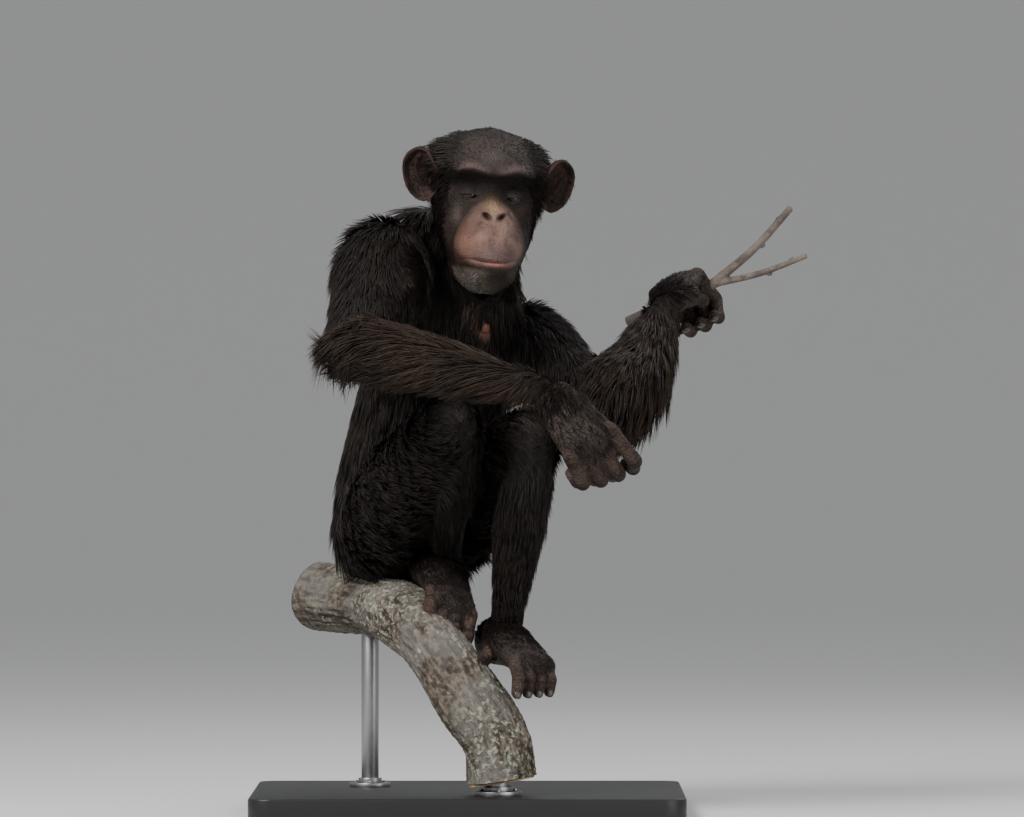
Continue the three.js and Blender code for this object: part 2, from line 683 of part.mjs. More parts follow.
function branch(grow) {
  const stem = new Sweep({
    path: [GRIP.clone().addScaledVector(BRANCH_REACH, -86), GRIP, FORK],
    sizes: [[8, 8], [7.4, 7.4], [7, 7]], side: v(0, 0, 1), caps: [1, 5], rings: 3, sides: 8, capRings: 1,
  });
  const forks = [
    { to: v(96, -20, 96), radius: 6 },
    { to: v(116, -24, 34), radius: 4.6 },
  ].map(({ to, radius }) => new Sweep({
    path: [FORK.clone().addScaledVector(BRANCH_REACH, -4),
      FORK.clone().addScaledVector(to, 0.5).add(v(2, 0, -3)), FORK.clone().add(to)],
    sizes: [[radius, radius], [radius * 0.96, radius * 0.96], [radius * 0.9, radius * 0.9]],
    side: v(0, 1, 0), caps: [3, 1], rings: 4, sides: 8, capRings: 1,
  }));
  return join([stem.solid(grow), ...forks.map((fork) => fork.solid(grow))]);
}

// Stand: a flat base with eased corners and two upright rods up to the bough.
const BASE = { x: -40, y: 20, width: 540, depth: 500, height: 25, corner: 28 };
const RODS = [{ x: -165, y: 108, radius: 11 }, { x: -2, y: -122, radius: 14 }];

function standBase() {
  const outline = new THREE.Shape();
  const { width, depth, corner } = BASE;
  const [w, d] = [width / 2, depth / 2];
  outline.moveTo(-w + corner, -d);
  outline.lineTo(w - corner, -d);
  outline.absarc(w - corner, -d + corner, corner, -Math.PI / 2, 0);
  outline.lineTo(w, d - corner);
  outline.absarc(w - corner, d - corner, corner, 0, Math.PI / 2);
  outline.lineTo(-w + corner, d);
  outline.absarc(-w + corner, d - corner, corner, Math.PI / 2, Math.PI);
  outline.lineTo(-w, -d + corner);
  outline.absarc(-w + corner, -d + corner, corner, Math.PI, Math.PI * 1.5);
  const plate = new THREE.ExtrudeGeometry(outline, {
    depth: BASE.height, bevelEnabled: false, curveSegments: 4,
  });
  plate.translate(BASE.x, BASE.y, 0);
  return geometryToSolid(plate);
}

function standRod({ x, y, radius }, top) {
  const bottom = BASE.height + GAP;
  const rod = new THREE.CylinderGeometry(radius, radius, top - bottom, 14);
  rod.rotateX(Math.PI / 2);
  rod.translate(x, y, (top + bottom) / 2);
  return geometryToSolid(rod);
}

// Nodes in order of precedence: each gives way to those before it.
const FUR = { colour: 0x17130f, roughness: 0.8 };
const SKIN = { colour: 0x3a302c, roughness: 0.7 };
const FACE = { colour: 0x4a3f3b, roughness: 0.65 };
const BARK = { colour: 0x5b4c3f, roughness: 0.95 };
const STAND = { colour: 0x2b2b2b, roughness: 0.5 };
const ROD_STEEL = { colour: 0x8a8a8a, roughness: 0.35, metalness: 1 };
const EYE_LOOK = { colour: 0x1a0d08, roughness: 0.1 };

// The coat's lie: down the back, down to the elbow on both halves of the arm, down the leg.
const ARM_COAT = { from: 12, to: 190, rows: 3, around: 5, direction: 1, length: 96, width: 50 };
const FOREARM_COAT = { from: 262, to: 100, rows: 3, around: 5, direction: -1, length: 88, width: 42 };
const THIGH_COAT = { from: 66, to: 215, rows: 2, around: 5, direction: 1, length: 118, width: 66 };
const SHIN_COAT = { from: 46, to: 165, rows: 2, around: 5, direction: 1, length: 84, width: 40 };
const TORSO_COAT = {
  from: 420, to: 160, rows: 4, around: 6, angles: [-45, 225], direction: -1, length: 124, width: 78,
};
const NECK_COAT = { from: 92, to: 60, rows: 1, around: 5, direction: -1, length: 64, width: 56 };
const FRINGE = { around: 3, angles: [35, 155], lift: 22, length: 82 };
const coatOf = (sweep, ...coats) => (grow) => join(coats.map((coat) => locksOn(sweep, coat, grow)));
const locksOf = {
  head: headLocks,
  upper_arm_right: coatOf(limbs.upper_arm_right, { ...ARM_COAT, seed: 3 }),
  upper_arm_left: coatOf(limbs.upper_arm_left, { ...ARM_COAT, seed: 4 }),
  forearm_right: coatOf(limbs.forearm_right, { ...FOREARM_COAT, seed: 5 }),
  forearm_left: coatOf(limbs.forearm_left,
    { ...FOREARM_COAT, around: 3, angles: [155, 395], seed: 6 },
    { ...FOREARM_COAT, ...FRINGE, seed: 7 }),
  thigh_right: coatOf(limbs.thigh_right, { ...THIGH_COAT, seed: 8 }),
  thigh_left: coatOf(limbs.thigh_left, { ...THIGH_COAT, seed: 9 }),
  shin_right: coatOf(limbs.shin_right, { ...SHIN_COAT, seed: 10 }),
  shin_left: coatOf(limbs.shin_left, { ...SHIN_COAT, seed: 11 }),
  neck: coatOf(neck, { ...NECK_COAT, seed: 13 }),
  torso: coatOf(torso, { ...TORSO_COAT, seed: 12 }),
};

const nodes = [
  { name: "stand_base", core: () => standBase(), look: STAND },
  { name: "perch_bough", core: (grow) => bough.solid(grow), look: BARK },
  { name: "perch_branch", core: branch, look: BARK },
  { name: "stand_rod_rear", core: () => standRod(RODS[0], 240), look: ROD_STEEL },
  { name: "stand_rod_front", core: () => standRod(RODS[1], 60), look: ROD_STEEL },
  { name: "eye_right", core: (grow) => eyeBall(-1, grow), look: EYE_LOOK },
  { name: "eye_left", core: (grow) => eyeBall(1, grow), look: EYE_LOOK },
  { name: "head", core: headCore, look: FACE },
  { name: "ear_right", core: (grow) => ear(-1, grow), look: SKIN },
  { name: "ear_left", core: (grow) => ear(1, grow), look: SKIN },
  { name: "hand_right", core: extremities.hand_right, look: SKIN },
  { name: "hand_left", core: extremities.hand_left, look: SKIN },
  { name: "foot_right", core: extremities.foot_right, look: SKIN },
  { name: "foot_left", core: extremities.foot_left, look: SKIN },
  { name: "forearm_right", core: (grow) => limbs.forearm_right.solid(grow), look: FUR },
  { name: "forearm_left", core: (grow) => limbs.forearm_left.solid(grow), look: FUR },
  { name: "upper_arm_right", core: (grow) => limbs.upper_arm_right.solid(grow), look: FUR },
  { name: "upper_arm_left", core: (grow) => limbs.upper_arm_left.solid(grow), look: FUR },
  { name: "shin_right", core: (grow) => limbs.shin_right.solid(grow), look: FUR },
  { name: "shin_left", core: (grow) => limbs.shin_left.solid(grow), look: FUR },
  { name: "thigh_right", core: (grow) => limbs.thigh_right.solid(grow), look: FUR },
  { name: "thigh_left", core: (grow) => limbs.thigh_left.solid(grow), look: FUR },
  { name: "neck", core: (grow) => neck.solid(grow), look: FUR },
  { name: "torso", core: (grow) => torso.solid(grow), look: FUR },
];

const largest = (solid) => solid.decompose().reduce(
  (best, piece) => (piece.volume() > best.volume() ? piece : best));

const chimpanzee = new THREE.Group();
chimpanzee.position.set(-BASE.x, -BASE.y, 0);
const grown = nodes.map(({ core }) => core(GAP));
const overlaps = (a, b) => {
  const [p, q] = [a.boundingBox(), b.boundingBox()];
  return [0, 1, 2].every((axis) => p.min[axis] < q.max[axis] && q.min[axis] < p.max[axis]);
};
const cutBy = (solid, others) => {
  const near = others.filter((other) => overlaps(solid, other));
  return near.length > 0 ? solid.subtract(join(near)) : solid;
};
const grownLocks = [];
const made = [];
nodes.forEach(({ name, core, look }, index) => {
  let solid = largest(cutBy(core(0), [...grown.slice(0, index), ...grownLocks]));
  if (locksOf[name]) {
    const others = grown.filter((_, k) => k !== index);
    solid = solid.add(cutBy(locksOf[name](0), [...others, ...grownLocks, ...made]));
    grownLocks.push(locksOf[name](LOCK_ROOM));
  }
  solid = largest(cutBy(solid, made));
  made.push(solid);
  const material = new THREE.MeshStandardMaterial({
    color: look.colour, roughness: look.roughness, metalness: look.metalness ?? 0,
  });
  const mesh = new THREE.Mesh(toGeometry(solid), material);
  mesh.name = name;
  chimpanzee.add(mesh);
});

export default chimpanzee;
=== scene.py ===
# A life-size chimpanzee squatting on a cut length of bough, one arm laid over its knees and the
# other hand round a forked branch, held on a plain display stand. Metres, +Z up, the viewer
# looks along +Y. Places inside a section are millimetres of the pose, turned into metres once.
import math

import bpy
import numpy as np
from mathutils import Euler, Matrix, Vector, noise


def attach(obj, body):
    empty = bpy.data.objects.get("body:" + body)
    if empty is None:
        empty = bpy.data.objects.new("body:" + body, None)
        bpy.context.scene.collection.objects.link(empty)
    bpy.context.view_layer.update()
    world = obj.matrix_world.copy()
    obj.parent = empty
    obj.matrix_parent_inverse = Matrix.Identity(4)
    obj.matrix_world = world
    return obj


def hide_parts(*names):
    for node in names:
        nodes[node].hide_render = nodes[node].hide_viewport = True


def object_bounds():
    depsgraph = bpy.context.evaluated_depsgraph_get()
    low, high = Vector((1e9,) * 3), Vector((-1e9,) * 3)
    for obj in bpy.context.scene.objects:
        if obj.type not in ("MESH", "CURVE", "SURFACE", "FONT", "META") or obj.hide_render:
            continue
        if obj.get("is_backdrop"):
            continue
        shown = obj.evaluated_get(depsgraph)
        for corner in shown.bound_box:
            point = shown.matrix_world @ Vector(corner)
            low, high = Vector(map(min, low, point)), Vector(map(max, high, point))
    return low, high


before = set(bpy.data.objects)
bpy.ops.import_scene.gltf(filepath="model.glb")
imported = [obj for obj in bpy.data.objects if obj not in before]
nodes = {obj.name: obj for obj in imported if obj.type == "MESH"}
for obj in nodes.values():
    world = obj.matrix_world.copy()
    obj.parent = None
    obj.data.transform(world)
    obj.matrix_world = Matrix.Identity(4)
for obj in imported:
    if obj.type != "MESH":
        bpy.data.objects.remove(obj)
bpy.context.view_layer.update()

# Viewpoint: level with the animal's middle and far off, as through a long lens, so that the
# picture's width spans 1.28 m at the body.
AIM = (0.055, -0.06, 0.5044)
FAR = 10.0
SPAN = 1.28
SENSOR = 36.0


def add_object(name, data):
    """A new object in the scene."""
    made = bpy.data.objects.new(name, data)
    bpy.context.collection.objects.link(made)
    return made


camera = add_object("camera", bpy.data.cameras.new("camera"))
camera.location = (AIM[0], AIM[1] - FAR, AIM[2])
camera.rotation_euler = (math.pi / 2, 0, 0)
camera.data.sensor_width = SENSOR
camera.data.lens = SENSOR * FAR / SPAN
camera.data.clip_end = 60
bpy.context.scene.camera = camera

# Studio: a pale floor that sweeps up all round, a broad soft lamp from the upper left, a weaker
# one from the right, and a high one behind that draws the sheen out of the dark coat.
FLOOR_GREY = (0.62, 0.62, 0.61, 1)
FLAT = 10.6
SWEEP = 13.0
SWEEP_STEPS = 28


def deselect_all():
    """Nothing is active in edit mode and nothing is selected."""
    if bpy.context.object and bpy.context.object.mode != "OBJECT":
        bpy.ops.object.mode_set(mode="OBJECT")
    bpy.ops.object.select_all(action="DESELECT")


class Wire:
    """A node's output whose arithmetic adds Math nodes to its finish."""

    def __init__(self, finish, socket):
        self.finish = finish
        self.socket = socket

    def __add__(self, other):
        return self.finish.maths("ADD", self, other)

    def __rsub__(self, other):
        return self.finish.maths("SUBTRACT", other, self)

    def __mul__(self, other):
        return self.finish.maths("MULTIPLY", self, other)

    __radd__ = __add__
    __rmul__ = __mul__


class Finish:
    """A material that ends in one Principled shader, with its nodes added by calls."""

    def __init__(self, name, fixed):
        self.material = bpy.data.materials.new(name)
        self.material.use_nodes = True
        self.tree = self.material.node_tree
        self.shader = self.tree.nodes["Principled BSDF"]
        for socket, value in fixed.items():
            self.shader.inputs[socket].default_value = value

    def node(self, kind, settings, inputs, output=0):
        made = self.tree.nodes.new(kind)
        for key, value in settings.items():
            setattr(made, key, value)
        for key, value in inputs.items():
            if isinstance(value, Wire):
                self.tree.links.new(value.socket, made.inputs[key])
            else:
                made.inputs[key].default_value = value
        return Wire(self, made.outputs[output])

    def maths(self, operation, *values):
        return self.node("ShaderNodeMath", {"operation": operation}, dict(enumerate(values)))

    def place(self, stretch=(1, 1, 1)):
        """The point on the object, stretched so that a pattern runs along an axis."""
        point = self.node("ShaderNodeTexCoord", {}, {}, "Object")
        return self.node("ShaderNodeMapping", {}, {"Vector": point, "Scale": stretch})

    def noise(self, scale, detail=3, vector=None, roughness=0.55):
        inputs = {"Scale": scale, "Detail": detail, "Roughness": roughness}
        inputs["Vector"] = vector or self.place()
        return self.node("ShaderNodeTexNoise", {}, inputs)

    def cells(self, scale, feature="F1", vector=None):
        inputs = {"Scale": scale, "Vector": vector or self.place()}
        return self.node("ShaderNodeTexVoronoi", {"feature": feature}, inputs)

    def attribute(self, name):
        return self.node("ShaderNodeAttribute", {"attribute_name": name}, {}, "Fac")

    def between(self, value, low, high):
        """0 below low, 1 above high, smooth in the middle."""
        return self.node("ShaderNodeMapRange", {"interpolation_type": "SMOOTHSTEP"}, {
            "Value": value, "From Min": low, "From Max": high})

    def mix(self, share, first, second):
        """A colour between two, each a wire or three numbers."""
        colours = [c if isinstance(c, Wire) else (*c, 1) for c in (first, second)]
        return self.node("ShaderNodeMix", {"data_type": "RGBA"}, {
            0: share, 6: colours[0], 7: colours[1]}, 2)

    def finish(self, colour=None, roughness=None, relief=None, depth=0.001):
        if colour is not None:
            self.tree.links.new(colour.socket, self.shader.inputs["Base Color"])
        if roughness is not None:
            self.tree.links.new(roughness.socket, self.shader.inputs["Roughness"])
        if relief is not None:
            bump = self.node("ShaderNodeBump", {}, {
                "Strength": 1.0, "Distance": depth, "Height": relief})
            self.tree.links.new(bump.socket, self.shader.inputs["Normal"])
        return self.material


deselect_all()
bpy.ops.mesh.primitive_circle_add(vertices=160, radius=FLAT, fill_type="NGON")
floor = bpy.context.object
floor.name = "floor"
bpy.ops.object.mode_set(mode="EDIT")
bpy.ops.mesh.select_mode(type="EDGE")
bpy.ops.mesh.select_all(action="SELECT")
bpy.ops.mesh.region_to_loop()
step = SWEEP * math.radians(90) / SWEEP_STEPS
for k in range(SWEEP_STEPS):
    lean = math.radians(90 * (k + 0.5) / SWEEP_STEPS)
    out = FLAT + SWEEP * math.sin(math.radians(90 * k / SWEEP_STEPS))
    bpy.ops.mesh.extrude_edges_move(
        TRANSFORM_OT_translate={"value": (0, 0, step * math.sin(lean))})
    wider = (out + step * math.cos(lean)) / out
    bpy.ops.transform.resize(value=(wider, wider, 1), center_override=(0, 0, 0))
bpy.ops.object.mode_set(mode="OBJECT")
bpy.ops.object.shade_smooth()
pale = Finish("pale floor", {"Base Color": FLOOR_GREY, "Roughness": 0.85})
floor.data.materials.append(pale.finish(relief=pale.noise(14, 5), depth=0.0004))
floor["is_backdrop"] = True

world = bpy.data.worlds.new("studio")
world.use_nodes = True
sky = world.node_tree.nodes["Background"]
sky.inputs["Color"].default_value = (0.87, 0.88, 0.90, 1)
sky.inputs["Strength"].default_value = 0.6
bpy.context.scene.world = world
LAMPS = {
    # place, width, power
    "key": ((-1.9, -2.2, 2.6), 1.6, 190),
    "fill": ((2.2, -2.4, 1.2), 2.4, 56),
    "back": ((1.7, 1.8, 2.6), 1.8, 26),
}
for name, (place, size, power) in LAMPS.items():
    lamp = add_object(name, bpy.data.lights.new(name, "AREA"))
    lamp.data.size = size
    lamp.data.energy = power
    lamp.location = place
    way = Vector((0, 0, 0.5)) - Vector(place)
    lamp.rotation_euler = way.to_track_quat("-Z", "Y").to_euler()

# Flesh of trunk and limbs: muscle and skin under the coat, as tubes along the bones with
# elliptic sections. Sections are measured over the coat, and the flesh lies its depth inside.


def vec(x, y, z):
    return np.array([x, y, z], float)


ORIGIN = vec(40, -20, 0)
COAT_DEPTH = 15.0
FLESH_VOXEL = 6.0
JOINTS = {name: vec(*place) for name, place in {
    "shoulder_right": (-140, -8, 686), "elbow_right": (-178, -238, 582),
    "wrist_right": (62, -262, 522), "shoulder_left": (30, 140, 592),
    "elbow_left": (130, -115, 514), "wrist_left": (214, 101, 638),
    "hip_right": (-148, 86, 350), "knee_right": (-60, -160, 484), "ankle_right": (-70, 2, 322),
    "hip_left": (-82, 122, 350), "knee_left": (38, -120, 468), "ankle_left": (8, -58, 236),
}.items()}
TURN = math.radians(41)
LEFTWARD = vec(math.cos(TURN), math.sin(TURN), 0)


def unit(vectors):
    """Vectors at length one."""
    vectors = np.asarray(vectors, float)
    return vectors / np.maximum(np.linalg.norm(vectors, axis=-1, keepdims=True), 1e-9)


def dot(a, b):
    return (a * b).sum(axis=-1, keepdims=True)


def spline(knots, count):
    """Points at even steps of a smooth curve through the knots."""
    knots = np.asarray(knots, float)
    last = len(knots) - 1
    t = np.linspace(0, last, count)
    k = np.minimum(t.astype(int), last - 1)
    s = (t - k)[:, None]
    padded = np.vstack([2 * knots[0] - knots[1], knots, 2 * knots[-1] - knots[-2]])
    a, b, c, d = (padded[k + i] for i in range(4))
    return b + 0.5 * s * (c - a + s * (2 * a - 5 * b + 4 * c - d + s * (3 * (b - c) + d - a)))


class Tube:
    """Flesh along a smooth path, with round ends: centres, axes and half sizes at even steps."""

    def __init__(self, path, sizes, side, caps, inset=COAT_DEPTH, sheared=False, rings=56):
        self.centres = spline(path, rings)
        self.sizes = spline(sizes, rings) - inset
        self.tangents = unit(np.gradient(self.centres, axis=0))
        ends = np.asarray(side, float).reshape(-1, 3)
        share = np.linspace(0, 1, rings)[:, None]
        sides = ends[0] * (1 - share) + ends[-1] * share
        if not sheared:
            sides = sides - self.tangents * dot(sides, self.tangents)
        self.sides = unit(sides)
        self.depths = unit(np.cross(self.tangents, self.sides))
        steps = np.linalg.norm(np.diff(self.centres, axis=0), axis=1)
        along = np.concatenate([[0], np.cumsum(steps)])
        self.length = along[-1]
        start = np.minimum(1, along / caps[0])
        end = np.minimum(1, (self.length - along) / caps[1])
        self.fullness = np.sqrt(1 - (1 - start) ** 2) * np.sqrt(1 - (1 - end) ** 2)
        self.fullness = np.maximum(self.fullness, 0.02)

    def grid(self, around):
        """Rings of points, one row for each step."""
        angle = round_about(around)[None, :, None]
        half = (self.sizes * self.fullness[:, None])[:, None, :]
        return (self.centres[:, None] + self.sides[:, None] * half[..., :1] * np.cos(angle)
                + self.depths[:, None] * half[..., 1:2] * np.sin(angle))

    def nearest(self, points):
        """For each point: how far out it lies, 1 on the surface, and the nearest step."""
        squares = (points ** 2).sum(axis=1)[:, None] + (self.centres ** 2).sum(axis=1)
        apart = np.sqrt(np.maximum(0, squares - 2 * points @ self.centres.T))
        reach = self.sizes.mean(axis=1) * np.maximum(self.fullness, 0.5)
        step = (apart / reach).argmin(axis=1)
        return (apart / reach)[np.arange(len(points)), step], step


def round_about(count):
    """Even angles once round."""
    return np.linspace(0, 2 * np.pi, count, endpoint=False)


def grid_faces(rows, columns, start):
    """Faces of rings of points joined into a closed tube, with its two ends."""
    row = start + np.arange(rows - 1)[:, None] * columns
    i = np.arange(columns)[None, :]
    j = (i + 1) % columns
    quads = np.stack([row + i, row + j, row + columns + j, row + columns + i], axis=-1)
    first = list(range(start, start + columns))[::-1]
    last = list(range(start + (rows - 1) * columns, start + rows * columns))
    return quads.reshape(-1, 4).tolist() + [first, last]


def add_mesh(name, points, faces):
    """A new piece from points in the pose's millimetres."""
    mesh = bpy.data.meshes.new(name)
    mesh.from_pydata((points + ORIGIN) / 1000, [], faces)
    return add_object(name, mesh)


def body_object(name, grids):
    """One mesh of several closed tubes of points."""
    faces = []
    count = 0
    for grid in grids:
        faces += grid_faces(*grid.shape[:2], count)
        count += grid.shape[0] * grid.shape[1]
    return add_mesh(name, np.vstack([grid.reshape(-1, 3) for grid in grids]), faces)


def make_active(thing):
    """Selects one thing alone for the operators that follow."""
    deselect_all()
    thing.select_set(True)
    bpy.context.view_layer.objects.active = thing


def apply(thing, kind, settings):
    """Adds a modifier and applies it."""
    make_active(thing)
    modifier = thing.modifiers.new(kind, kind)
    for key, value in settings.items():
        setattr(modifier, key, value)
    bpy.ops.object.modifier_apply(modifier=modifier.name)


def fuse(thing, voxel, rounds):
    """Overlapping closed forms become one smooth skin."""
    apply(thing, "REMESH", {"mode": "VOXEL", "voxel_size": voxel / 1000})
    apply(thing, "SMOOTH", {"factor": 0.5, "iterations": rounds})


def limb(start, end, before, after, sizes, side, caps, bend=(0, 0, 0)):
    """A limb's tube between two joints, reaching past each of them."""
    a, b = JOINTS[start], JOINTS[end]
    reach = unit(b - a)
    a, b = a - reach * before, b + reach * after
    middle = (a + b) / 2 + vec(*bend)
    path = [a, (a + middle) / 2, middle, (middle + b) / 2, b]
    return Tube(path, sizes, side, caps)


TUBES = {
    "torso": Tube(
        [(-130, 112, 292), (-124, 112, 352), (-112, 110, 428), (-90, 98, 508), (-68, 80, 584),
         (-56, 66, 656), (-56, 54, 744)],
        [(84, 78), (104, 90), (102, 96), (108, 94), (118, 92), (118, 84), (84, 58)],
        [LEFTWARD, LEFTWARD + (0, 0, -0.52)], (46, 36), sheared=True),
    "neck": Tube([(-50, 62, 668), (-38, 22, 706), (-22, -34, 742)],
                 [(84, 62), (72, 60), (58, 58)], (1, 0, -0.25), (30, 30)),
    "upper_arm_right": limb(
        "shoulder_right", "elbow_right", 52, 26,
        [(64, 62), (72, 70), (62, 60), (52, 50), (42, 44)], (1, 0, 0), (46, 30)),
    "forearm_right": limb(
        "elbow_right", "wrist_right", 34, 4,
        [(42, 42), (47, 48), (44, 46), (37, 37), (33, 31)], (0, 0, 1), (34, 12)),
    "upper_arm_left": limb(
        "shoulder_left", "elbow_left", 44, 26,
        [(52, 52), (60, 60), (52, 52), (44, 46), (40, 42)], (1, 0, 0), (44, 30)),
    "forearm_left": limb(
        "elbow_left", "wrist_left", 36, 4,
        [(42, 46), (48, 56), (44, 52), (36, 42), (31, 33)], (0.6, 0, 0.6), (36, 12), (8, 0, -10)),
    "thigh_right": limb(
        "hip_right", "knee_right", 40, 30,
        [(66, 70), (76, 80), (70, 74), (58, 62), (46, 50)], (1, 0, 0), (50, 36)),
    "thigh_left": limb(
        "hip_left", "knee_left", 40, 30,
        [(62, 66), (70, 76), (66, 70), (56, 60), (46, 50)], (0.8, 0.4, 0), (50, 36)),
    "shin_right": limb(
        "knee_right", "ankle_right", 22, 4,
        [(42, 44), (46, 52), (44, 50), (36, 38), (31, 33)], (1, 0, 0), (36, 12)),
    "shin_left": limb(
        "knee_left", "ankle_left", 22, 4,
        [(42, 44), (46, 52), (44, 50), (36, 40), (31, 34)], (1, 0, 0), (36, 12)),
}
skin = body_object("skin", [tube.grid(32) for tube in TUBES.values()])
fuse(skin, FLESH_VOXEL, 6)

# Hands and feet: bare palms, soles and digits. A digit is one tube bent at its joints, with
# fuller knuckles, and the flesh of each hand or foot is fused from its tubes.
PALM = 92.0
FINGER_BONES = np.array([52.0, 34.0, 22.0])
FINGER = 9.6
FINGER_STEP = 19.6
FINGER_LENGTHS = (0.94, 1, 0.96, 0.82)
METATARSUS = 108.0
TOE_BONES = np.array([32.0, 24.0])
TOE = 8.6
TOE_STEP = 17.6
KNUCKLE = 1.07
SHAFT = 0.94
DIGIT_VOXEL = 2.45
digits = []


def digit(base, forward, palm_side, bones, curls, radius):
    """A finger or toe as a tube. Its tip, back and knuckles are kept for nails and creases."""
    angle = 0.0
    joint = base
    path = [base - forward * radius]
    sizes = [radius * 0.9]
    joints = []
    for k, (bone, curl) in enumerate(zip(bones, curls)):
        thick = radius * (1 - 0.07 * k)
        angle += math.radians(curl)
        heading = forward * math.cos(angle) + palm_side * math.sin(angle)
        path += [joint, joint + heading * bone * 0.28, joint + heading * bone * 0.68]
        sizes += [thick * KNUCKLE, thick, thick * SHAFT]
        joints.append(joint)
        joint = joint + heading * bone
    back = forward * math.sin(angle) - palm_side * math.cos(angle)
    path.append(joint + heading * radius * 0.5)
    sizes.append(radius * 0.74)
    tube = Tube(path, [(size, size) for size in sizes], np.cross(forward, palm_side),
                (4, radius * 0.8), 0, rings=64)
    digits.append({"tip": joint, "heading": heading, "back": back, "radius": radius * 0.84,
                   "tube": tube, "joints": joints})
    return tube


def square_to(way, other):
    """A direction turned until it lies at right angles to another."""
    return unit(way - other * np.dot(way, other))


def hand(wrist, forward, palm_side, thumb_side, curls, splay, thumb):
    """Palm, four fingers and a short thumb."""
    along = unit(forward)
    palm = square_to(palm_side, along)
    across = unit(np.cross(along, palm))
    thumbward = across * np.sign(np.dot(thumb_side, across))

    def at(forwards, sideways, inwards):
        return wrist + along * forwards + thumbward * sideways + palm * inwards

    parts = [Tube([at(-8, 0, 0), at(PALM * 0.35, 0, 1), at(PALM * 0.75, 0, 0), at(PALM, 0, 2)],
                  [(23, 18), (31, 20), (36, 17), (33, 13)], across, (8, 14), 0)]
    parts.append(Tube([at(8, 14, 6), at(PALM * 0.3, 22, 10), at(PALM * 0.6, 18, 6)],
                      [(9, 9), (14, 13), (9, 9)], across, (9, 9), 0))
    for k in range(4):
        base = at(PALM - 6 - 3 * abs(k - 1), (1.5 - k) * FINGER_STEP, 0)
        turn = math.radians(splay[k])
        reach = along * math.cos(turn) + thumbward * math.sin(turn)
        parts.append(digit(base, reach, palm, FINGER_BONES * FINGER_LENGTHS[k], curls[k], FINGER))
    away = unit(along * thumb["forward"] + thumbward * thumb["outward"] + palm * thumb["inward"])
    bend = along * thumb["bend_forward"] - thumbward * thumb["bend_across"]
    parts.append(digit(at(PALM * 0.36, 17, 6), away, square_to(bend, away), (36, 26),
                       thumb["curls"], FINGER))
    return parts


def foot(ankle, forward, sole, big_toe_side, curls, big_toe):
    """Heel and instep, four toes and a grasping big toe."""
    along = unit(forward)
    down = square_to(sole, along)
    across = unit(np.cross(along, down))
    inward = across * np.sign(np.dot(big_toe_side, across))

    def at(forwards, sideways, below):
        return ankle + along * forwards + inward * sideways + down * below

    parts = [Tube([at(-46, 0, 34), at(-14, 0, 24), at(32, 0, 26), at(76, -4, 34),
                   at(METATARSUS, -6, 38)],
                  [(22, 22), (27, 30), (32, 25), (36, 18), (32, 13)], across, (18, 12), 0)]
    for k in range(4):
        base = at(METATARSUS - 8 - 6 * k, (1.5 - k) * TOE_STEP - 6, 38)
        parts.append(digit(base, along, down, TOE_BONES * (1 - 0.08 * k), curls, TOE))
    away = unit(along * big_toe["forward"] + inward * big_toe["inward"] + down * big_toe["down"])
    bend = square_to(down + inward * big_toe["hook"], away)
    parts.append(digit(at(30, 20, 34), away, bend, (40, 30), big_toe["curls"], TOE * 1.2))
    return parts


PALM_RIGHT = vec(0, 1, -0.35)
PALM_LEFT = vec(0.45, 0.15, -0.88)
BRANCH_WAY = vec(0.88, -0.26, 0.4)
EXTREMITIES = {
    "hand_right": hand(
        JOINTS["wrist_right"], vec(0.6, -0.3, -0.74), PALM_RIGHT, vec(0.7, 0, 0.6),
        [(34, 60, 50), (46, 66, 55), (50, 66, 55), (52, 66, 50)], (8, 2, -1, -4),
        {"forward": 0.75, "outward": 0.1, "inward": 0.6, "bend_forward": 0.4, "bend_across": 1,
         "curls": (8, 35)}),
    "hand_left": hand(
        JOINTS["wrist_left"], vec(0.14, 0.95, 0.3), PALM_LEFT, BRANCH_WAY,
        [(62, 84, 62), (66, 86, 62), (68, 86, 62), (68, 84, 60)], (2, 0, -1, -3),
        {"forward": 0.62, "outward": 0.3, "inward": 0.72, "bend_forward": 1, "bend_across": 0.2,
         "curls": (10, 50)}),
    "foot_right": foot(
        JOINTS["ankle_right"], vec(0.36, -0.86, -0.34), vec(-0.3, -0.3, -1), vec(1, 0, 0),
        (48, 34), {"forward": 0.5, "inward": 0.55, "down": 0.66, "hook": -0.6,
                   "curls": (10, 40)}),
    "foot_left": foot(
        JOINTS["ankle_left"], vec(0.36, -0.9, -0.1), vec(-0.2, -0.1, -1), vec(-1, 0, 0),
        (34, 36), {"forward": 0.55, "inward": 0.72, "down": 0.4, "hook": -0.2,
                   "curls": (10, 36)}),
}
pieces_of_skin = []
for name, parts in EXTREMITIES.items():
    piece = body_object(name + "_flesh", [part.grid(24) for part in parts])
    fuse(piece, DIGIT_VOXEL, 3)
    pieces_of_skin.append(piece)

